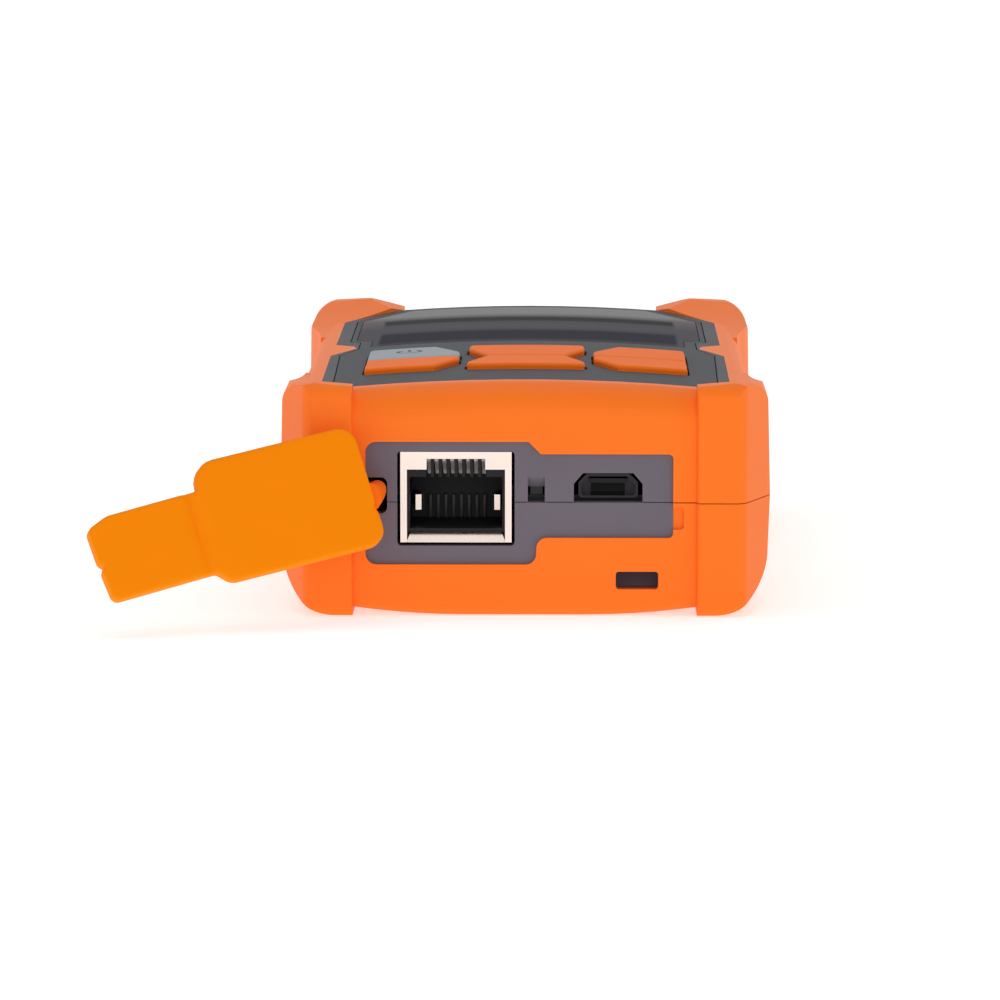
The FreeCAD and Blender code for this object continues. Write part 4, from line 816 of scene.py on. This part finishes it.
@dataclass(frozen=True)
class PortCover:
    """Soft cap that closes the sockets, with its studs and its strap. Sizes are in millimetres.

    It is modelled where it closes the sockets, then swung to where it hangs.

    Attributes:
        left, step, reach: across, where it starts, steps down and ends.
        notch, nick: heights of the small marks of wear on its left and right ends.
        low, low_right, top_right, top: heights of the square part and of the low part beside it.
        front, thickness: along the case.
        fold: across, the middle of the fold line.
        droop: how far the free end hangs, in degrees.
        studs: what drops into each socket, as left, right, low, high and length.
        rim, mesh_step: the rounding of the outer rim and how fine the cap is cut.
        pillow, groove, groove_width, wave: heights and width of what shapes the outside.
        root, hollow: how far a stud reaches into the cap and how much of its length is hollow.
        bend: two places along the hinge line where a bend of the strap would start and stop; not used.
        strap: the strap's stretches from inside the case to the cap, as centre, half width and half height.
    """

    left: float = -20.6
    step: float = 1.5
    reach: float = 16.8
    notch: float = 17.9
    nick: float = 16.55
    low: float = 6.7
    low_right: float = 10.2
    top_right: float = 21.1
    top: float = 22.7
    front: float = -63.0
    thickness: float = 1.8
    fold: float = 2.9
    droop: float = 1.6
    rim: float = 0.45
    mesh_step: float = 0.8
    pillow: float = 0.22
    groove: float = 0.6
    groove_width: float = 0.65
    wave: float = 0.12
    root: float = 0.4
    hollow: float = 0.8
    studs: tuple[tuple[float, ...], ...] = ((-14.5, -3.3, 11.4, 17.8, 2.4), (7.7, 13.9, 15.8, 16.9, 2.0))
    bend: tuple[float, float] = (0.6, 4.4)
    strap: tuple[tuple[float, ...], ...] = (
        (-21.4, -51.0, 14.6, 1.6, 1.5), (-21.4, -51.4, 14.6, 1.8, 1.7), (-21.3, -51.9, 14.7, 1.8, 1.7),
        (-21.0, -52.3, 15.0, 1.1, 1.0), (-20.0, -53.4, 15.9, 1.2, 1.0), (-19.2, -54.8, 16.5, 1.15, 1.05),
        (-19.0, -56.0, 16.6, 1.1, 1.1), (-18.95, -57.4, 16.6, 1.1, 1.1), (-19.1, -58.8, 16.4, 1.2, 1.2),
        (-19.5, -60.0, 16.2, 1.4, 1.5), (-19.9, -60.9, 16.1, 1.6, 1.9), (-20.1, -61.5, 16.1, 1.3, 1.6),
    )

    def corners(self) -> list[tuple[float, float, float]]:
        """Work out the outline's corners, worn and nicked a little at the ends.

        Returns:
            Across, height and radius of each corner.
        """
        return [
            (self.left, self.low, 2.4),
            (self.step, self.low, 3.0),
            (self.step, self.low_right, 0.4),
            (self.reach - 2.9, self.low_right, 0.5),
            (self.reach, self.low_right + 1.1, 0.8),
            (self.reach - 0.2, self.nick - 0.7, 0.3),
            (self.reach - 0.75, self.nick - 0.1, 0.0),
            (self.reach - 0.35, self.nick + 0.6, 0.3),
            (self.reach - 0.75, self.top_right, 0.9),
            (self.step + 0.6, self.top_right, 0.3),
            (self.step - 1.0, self.top, 0.8),
            (self.left, self.top, 2.2),
            (self.left, self.notch + 0.7, 0.3),
            (self.left + 0.35, self.notch, 0.2),
            (self.left, self.notch - 0.7, 0.3),
        ]

    def swing(self) -> Matrix:
        """Work out the turn from closed to where the cap hangs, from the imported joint.

        Returns:
            The turn, for points in millimetres.
        """
        joint = cap_joint()
        root = Matrix.Translation(Vector(joint["pos_m"]) / MM)
        turn = Matrix.Rotation(-math.radians(joint["range_deg"][0]), 4, Vector(joint["axis"]))
        return root @ turn @ root.inverted()

    def relief(self, x: float, z: float) -> float:
        """Say how the cap's outside is pillowed, waved a little, and grooved at the fold.

        Args:
            x: place across.
            z: height.

        Returns:
            How far the outside stands proud there.
        """
        across = (x - (self.left + self.step) / 2) / ((self.step - self.left) / 2)
        up = (z - (self.low + self.top) / 2) / ((self.top - self.low) / 2)
        pillow = self.pillow * max(0.0, 1 - across ** 2) * max(0.0, 1 - up ** 2)
        groove = self.groove * math.exp(-(((x - self.fold) / self.groove_width) ** 2))
        wave = self.wave * noise.noise(Vector((x / 5.0, 0.0, z / 4.0)))
        return pillow - groove + wave

    def build(self, materials: Materials) -> None:
        """Make the cap and its strap.

        Args:
            materials: every material by its finish.
        """
        form = Form()
        form.thicken(form.outline(self.corners(), self.front), self.thickness)
        form.turn_outwards()
        edges = [
            edge for edge in form.mesh.edges
            if all(abs(vert.co.y - self.front) < TOLERANCE for vert in edge.verts)
        ]
        form.ease(edges, self.rim, 4)
        fine = self.mesh_step
        form.slice(0, span(self.left - 1, self.reach - 1, fine))
        form.slice(2, span(self.low + fine, self.top - fine, fine))
        for vert in form.mesh.verts:
            x, y, z = vert.co
            share = 1 - min(1.0, max(0.0, (y - self.front) / self.thickness))
            vert.co.y -= self.relief(x, z) * share
        for stud in self.studs:
            self.add_stud(form, stud)
        for vert in form.mesh.verts:
            vert.co.z += math.tan(math.radians(self.droop)) * max(0.0, vert.co.x - self.fold)
        bmesh.ops.transform(form.mesh, verts=form.mesh.verts, matrix=self.swing())
        cover = form.finish("port_cover", materials[CAP_RUBBER], Slot.PORT_CAP, Body.PORT_CAP, 50.0)
        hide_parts("port_cap")
        self.build_strap(materials[SHADED_STRAP_RUBBER])

    def add_stud(self, form: Form, stud: tuple[float, ...]) -> None:
        """Add a hollow stud to the cap's inside.

        Args:
            form: the cap under work.
            stud: its left, right, low, high and length.
        """
        left, right, low, high, length = stud
        back = self.front + self.thickness
        points = form.block(Vector((left, back - self.root, low)), Vector((right, back + length, high)))
        faces = {face for point in points for face in point.link_faces}
        end = max(faces, key=lambda face: face.calc_center_median().y)
        wall = min(1.0, (high - low) * 0.3)
        bmesh.ops.inset_region(form.mesh, faces=[end], thickness=wall, depth=0.0, use_even_offset=True)
        form.thicken(end, -length * self.hollow)
        bmesh.ops.delete(form.mesh, geom=[end], context="FACES_ONLY")
        form.ease(form.loop_edges(points), min(0.35, wall * 0.6), 2)

    def build_strap(self, material: bpy.types.Material) -> None:
        """Make the strap, which runs from inside the case at one end to the cap at the other.

        Args:
            material: its finish.
        """
        form = Form()
        stations = [(Vector(station[:3]), *station[3:]) for station in self.strap]
        centre, wide, tall = stations[0]
        loop = form.ring(centre, wide, tall)
        form.close(loop)
        for (before, last_wide, last_tall), (after, wide, tall) in zip(stations, stations[1:]):
            loop = form.grow(loop, after - before, Vector((wide / last_wide, 1.0, tall / last_tall)))
        form.close(loop)
        strap = form.finish("port_strap", material, Slot.PORT_CAP, None, 60.0)
        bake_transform(strap)


# --- fine detail of the network socket ---


@dataclass(frozen=True)
class ShieldSprings:
    """The two sprung fingers of the network socket's shield, one at each side. Sizes in millimetres.

    Attributes:
        across: the socket's middle.
        front: the shield's front.
        low, high: heights of the fingers.
        path: each finger's line, as distance from the middle and depth.
        sheet: thickness of the metal.
    """

    across: float = -8.75
    front: float = -55.2
    low: float = 13.1
    high: float = 15.1
    path: tuple[tuple[float, float], ...] = (
        (5.5, 5.0), (5.35, 5.05), (4.75, 5.2), (4.6, 5.4), (4.5, 6.4), (4.8, 8.4), (5.4, 10.4), (6.1, 11.1),
    )
    sheet: float = 0.25

    def build(self, materials: Materials) -> None:
        """Make both fingers.

        Args:
            materials: every material by its finish.
        """
        for side, name in ((-1, "left"), (1, "right")):
            form = Form()
            points = [(self.across + side * out, self.front + depth) for out, depth in self.path]
            ends = [form.mesh.verts.new((*points[0], z)) for z in (self.low, self.high)]
            form.mesh.edges.new(ends)
            for before, after in zip(points, points[1:]):
                ends = form.grow(ends, (after[0] - before[0], after[1] - before[1], 0.0))
            form.turn_outwards()
            bmesh.ops.solidify(form.mesh, geom=list(form.mesh.faces), thickness=self.sheet)
            form.finish(f"shield_spring_{name}", materials[TIN], Slot.SHIELD, Body.CASE)


@dataclass(frozen=True)
class SocketComb:
    """Ribs on the back wall of the network socket, which keep its contacts apart. Sizes in millimetres.

    Attributes:
        across: the socket's middle.
        pitch, count: of the ribs.
        width, low, high: of each rib.
        back, stand: the wall that the ribs are on and how far they stand out.
        rounding: of their edges.
    """

    across: float = -8.9
    pitch: float = 1.016
    count: int = 8
    width: float = 0.42
    low: float = 11.3
    high: float = 14.4
    back: float = -43.4
    stand: float = 0.9
    rounding: float = 0.08

    def build(self, materials: Materials) -> None:
        """Make the ribs as one piece.

        Args:
            materials: every material by its finish.
        """
        form = Form()
        for index in range(self.count):
            middle = self.across + (index - (self.count - 1) / 2) * self.pitch
            form.block(
                Vector((middle - self.width / 2, self.back - self.stand, self.low)),
                Vector((middle + self.width / 2, self.back, self.high)),
            )
        form.ease(form.mesh.edges, self.rounding, 2)
        form.finish("socket_comb", materials[COMB], Slot.SOCKET, Body.CASE)


# --- dust caps and case screws ---


@dataclass(frozen=True)
class DustCap:
    """Ribbed rubber cap over a port's nose. Sizes in millimetres.

    Attributes:
        body: the body that it rides on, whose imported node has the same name.
        across: the port's place across the case.
        bore, outer: its inside and outside radius.
        start, floor, end: along the case, where it starts, where its bore ends and its own end.
        height: the port's height.
        ribs, rib: how many ribs there are round it and how far they stand out.
        rib_start, rib_end: how far they stop from the mouth and from the end.
        rib_slope: how far a rib takes to rise.
        crown: steps over the rounded and dished end, as length and loss of radius.
    """

    body: Body
    across: float
    bore: float
    outer: float
    floor: float
    end: float
    start: float = 56.3
    height: float = 14.8
    ribs: int = 28
    rib: float = 0.22
    rib_start: float = 0.6
    rib_end: float = 1.5
    rib_slope: float = 0.25
    crown: tuple[tuple[float, float], ...] = (
        (0.3, 0.0), (0.45, 0.2), (0.32, 0.32), (0.2, 0.45), (0.03, 0.75), (-0.15, 0.35), (-0.2, 0.25),
    )

    def build(self, materials: Materials) -> None:
        """Make the cap from its mouth outwards, then its bore.

        Args:
            materials: every material by its finish.
        """
        form = Form()
        segments, radius = self.ribs * 4, self.outer - self.rib
        centre = Vector((self.across, self.start, self.height))
        mouth = form.ring(centre, radius, radius, segments)
        wall = mouth
        for step in (self.rib_start - self.rib_slope, self.rib_slope):
            wall = form.grow(wall, (0, step, 0))
        ribbed = wall
        wall = form.grow(wall, (0, self.end - self.start - self.rib_start - self.rib_end, 0))
        ribbed = ribbed + wall
        for step, shrink in self.crown:
            factor = (radius - shrink) / radius
            radius -= shrink
            wall = form.grow(wall, (0, step, 0), (factor, 1, factor))
        form.close(wall)
        # Every fourth point of the ribbed loops stands out, so each rib is a ridge with flat flanks.
        for point in ribbed:
            spoke = Vector((point.co.x - self.across, 0, point.co.z - self.height))
            turn = math.atan2(spoke.z, spoke.x) / (2 * math.pi) * self.ribs
            if abs(turn - round(turn)) < 0.2:
                point.co += spoke.normalized() * self.rib
        inner = form.ring(centre, self.bore, self.bore, segments)
        bmesh.ops.bridge_loops(form.mesh, edges=form.loop_edges(mouth) + form.loop_edges(inner))
        form.close(form.grow(inner, (0, self.floor - self.start, 0)))
        cap = form.finish(f"{self.body.value}_ribbed", materials[DUST_CAP], Slot.DUST_CAP, self.body)
        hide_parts(self.body.value)


@dataclass(frozen=True)
class CaseScrews:
    """Screws in the wells of the back, each with a six-point socket. Sizes in millimetres.

    Attributes:
        places: each screw's place across and along the case.
        face: height of the heads' faces, which look down.
        head, head_height, shank, length: radii and heights of heads and shanks.
        chamfer: of the head's rim.
        tip, tip_share: the length of the pointed end and how much of its radius is left.
        socket, points_in, depth: outer and inner radius of the socket and its depth.
        points, segments: how many points the socket has and how many sides each loop.
    """

    places: tuple[tuple[float, float], ...] = ((-23.8, -46.8), (23.8, -46.8), (-23.8, 48.6), (23.8, 48.6))
    face: float = 2.2
    head: float = 2.2
    head_height: float = 1.6
    shank: float = 1.2
    length: float = 18.0
    chamfer: float = 0.3
    tip: float = 1.0
    tip_share: float = 0.5
    socket: float = 1.15
    points_in: float = 0.8
    depth: float = 1.0
    points: int = 6
    segments: int = 24

    def build(self, materials: Materials) -> None:
        """Make the four screws as one piece.

        Args:
            materials: every material by its finish.
        """
        form = Form()
        for across, along in self.places:
            self.add_screw(form, across, along)
        screws = form.finish("case_screws_driven", materials[STEEL], Slot.SCREW, Body.CASE)
        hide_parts("case_screws")

    def loop(self, form: Form, radius: float, centre: Vector) -> Points:
        """Add a round loop that faces up.

        Args:
            form: the screws under work.
            radius: its radius.
            centre: its middle.

        Returns:
            Its points.
        """
        points = bmesh.ops.create_circle(form.mesh, radius=radius, segments=self.segments)["verts"]
        bmesh.ops.translate(form.mesh, verts=points, vec=centre)
        return points

    def add_screw(self, form: Form, across: float, along: float) -> None:
        """Add one screw, from the socket's floor out over the head and up the shank.

        Args:
            form: the screws under work.
            across: its place across the case.
            along: its place along the case.
        """
        centre = Vector((across, along, self.face + self.depth))
        socket = self.loop(form, self.socket, centre)
        middle, swell = (self.socket + self.points_in) / 2, (self.socket - self.points_in) / 2
        for point in socket:
            spoke = point.co - centre
            turn = math.atan2(spoke.y, spoke.x)
            point.co = centre + spoke.normalized() * (middle + swell * math.cos(self.points * turn))
        form.close(socket)
        mouth = form.grow(socket, (0, 0, -self.depth))
        rim = self.head - self.chamfer
        wall = self.loop(form, rim, Vector((across, along, self.face)))
        bmesh.ops.bridge_loops(form.mesh, edges=form.loop_edges(mouth) + form.loop_edges(wall))
        steps = (
            (self.chamfer, self.head / rim),
            (self.head_height - self.chamfer, 1.0),
            (0.0, self.shank / self.head),
            (self.length - self.tip, 1.0),
            (self.tip, self.tip_share),
        )
        for step, share in steps:
            wall = form.grow(wall, (0, 0, step), (share, share, 1))
        form.close(wall)


# --- studio ---


@dataclass(frozen=True)
class Softbox:
    """An area light that faces a point.

    Attributes:
        name: the light's name.
        place: its centre.
        size: its width and height.
        radiance: brightness of its face, where 1 lights a white sheet close by to about white.
        aim: the point that it faces.
    """

    name: str
    place: tuple[float, float, float]
    size: tuple[float, float]
    radiance: float
    aim: tuple[float, float, float] = (0.0, 0.0, 0.02)

    def build(self) -> None:
        """Make the light."""
        data = bpy.data.lights.new(self.name, "AREA")
        data.shape = "RECTANGLE"
        data.size, data.size_y = self.size
        data.energy = self.radiance * math.pi * self.size[0] * self.size[1]
        light = add_object(self.name, data)
        light.location = self.place
        light.rotation_euler = (Vector(self.aim) - Vector(self.place)).to_track_quat("-Z", "Y").to_euler()


@dataclass(frozen=True)
class Studio:
    """Floor, lights, world and camera.

    Attributes:
        camera_place: where the camera stands.
        pitch: how far it looks down, in degrees.
        yaw: how far it looks to the left, in degrees.
        lens: focal length in millimetres.
        sensor: the sensor's width in millimetres.
        world_light: how bright the world is for the object.
        floor_half, floor_drop: half the floor's width, and how far it lies under the object.
        floor_colour: how light its matte surface is.
        glow: its own light, which keeps the object's shadow faint.
        glow_near, glow_far: what is added to it close by and far off, for rays that are seen.
        glow_fade: the distances between which it goes from the one to the other.
    """

    camera_place: tuple[float, float, float] = (0.0054, -0.796, 0.111)
    pitch: float = 7.38
    yaw: float = 0.665
    lens: float = 207.8
    sensor: float = 36.0
    world_light: float = 0.42
    floor_half: float = 6.0
    floor_drop: float = 0.05 * MM
    floor_colour: Colour = (0.8, 0.8, 0.8)
    glow: float = 0.62
    glow_near: float = -0.09
    glow_far: float = 0.15
    glow_fade: tuple[float, float] = (0.25, 1.2)

    def build(self) -> None:
        """Make the whole studio."""
        bpy.context.scene.view_settings.view_transform = "Standard"
        self.build_camera()
        self.build_world()
        self.build_floor()
        for softbox in self.softboxes():
            softbox.build()

    def build_camera(self) -> None:
        """Make the camera."""
        data = bpy.data.cameras.new("camera")
        data.lens = self.lens
        data.sensor_width = self.sensor
        data.clip_start, data.clip_end = 0.05, 20.0
        camera = add_object("camera", data)
        camera.location = self.camera_place
        camera.rotation_euler = (math.radians(90 - self.pitch), 0.0, math.radians(self.yaw))
        bpy.context.scene.camera = camera

    @staticmethod
    def seen(sheet: NodeSheet) -> Wire:
        """Tell the rays that are seen from those that only light the object.

        Args:
            sheet: the node sheet under work.

        Returns:
            1 for rays that come straight from the camera, or by a reflection or through glass.
        """
        path = sheet.add("ShaderNodeLightPath")
        rays = [Wire(sheet, path.outputs[f"Is {kind} Ray"]) for kind in ("Camera", "Glossy", "Transmission")]
        return rays[0].at_least(rays[1]).at_least(rays[2])

    def build_world(self) -> None:
        """Make a world that is white to look at and softer as a light."""
        world = bpy.data.worlds.new("studio")
        world.use_nodes = True
        bpy.context.scene.world = world
        sheet = NodeSheet(world.node_tree)
        seen = self.seen(sheet)
        strength = seen * (1.0 - self.world_light) + self.world_light
        light = sheet.out("ShaderNodeBackground", None, {"Color": (1.0, 1.0, 1.0), "Strength": strength})
        sheet.add("ShaderNodeOutputWorld", None, {"Surface": light})

    def build_floor(self) -> None:
        """Make a wide white floor that keeps the object's shadow."""
        mesh = bpy.data.meshes.new("floor")
        form = bmesh.new()
        bmesh.ops.create_grid(form, x_segments=1, y_segments=1, size=self.floor_half)
        bmesh.ops.translate(form, verts=form.verts, vec=(0.0, 0.0, -self.floor_drop))
        form.to_mesh(mesh)
        form.free()
        floor = add_object("floor", mesh)
        material = bpy.data.materials.new("white_floor")
        material.use_nodes = True
        sheet = NodeSheet(material.node_tree)
        matte = sheet.out("ShaderNodeBsdfDiffuse", None, {"Color": self.floor_colour})
        x, y, _ = sheet.axes()
        away = (x * x + y * y).maths("SQRT").rise(*self.glow_fade)
        added = away * (self.glow_far - self.glow_near) + self.glow_near
        strength = self.seen(sheet) * added + self.glow
        glow = sheet.out("ShaderNodeEmission", None, {"Color": (1.0, 1.0, 1.0), "Strength": strength})
        both = sheet.out("ShaderNodeAddShader", None, {0: matte, 1: glow})
        sheet.add("ShaderNodeOutputMaterial", None, {"Surface": both})
        mesh.materials.append(material)

    @staticmethod
    def softboxes() -> Iterable[Softbox]:
        """Yield the lights: one overhead, two in front and one at each side."""
        yield Softbox("overhead", (0.0, 0.05, 0.9), (0.9, 0.9), 0.9, aim=(0.0, 0.0, 0.0))
        yield Softbox("front", (0.2, -1.3, 0.45), (0.9, 0.5), 0.9)
        yield Softbox("low_front", (0.0, -1.0, 0.14), (1.2, 0.4), 0.75)
        yield Softbox("left", (-0.9, -0.3, 0.25), (0.5, 0.5), 0.8)
        yield Softbox("right", (0.9, -0.3, 0.25), (0.5, 0.5), 0.8)


def main() -> None:
    """Build everything in order."""
    logging.basicConfig(level=logging.INFO)
    materials = dress_frame()
    PortCover().build(materials)
    ShieldSprings().build(materials)
    SocketComb().build(materials)
    DustCap(Body.DETECTOR_CAP, -12.5, 4.15, 5.35, 63.3, 64.6).build(materials)
    DustCap(Body.LASER_CAP, 12.5, 3.45, 4.65, 61.8, 63.1).build(materials)
    CaseScrews().build(materials)
    Studio().build()


if __name__ == "__main__":
    main()
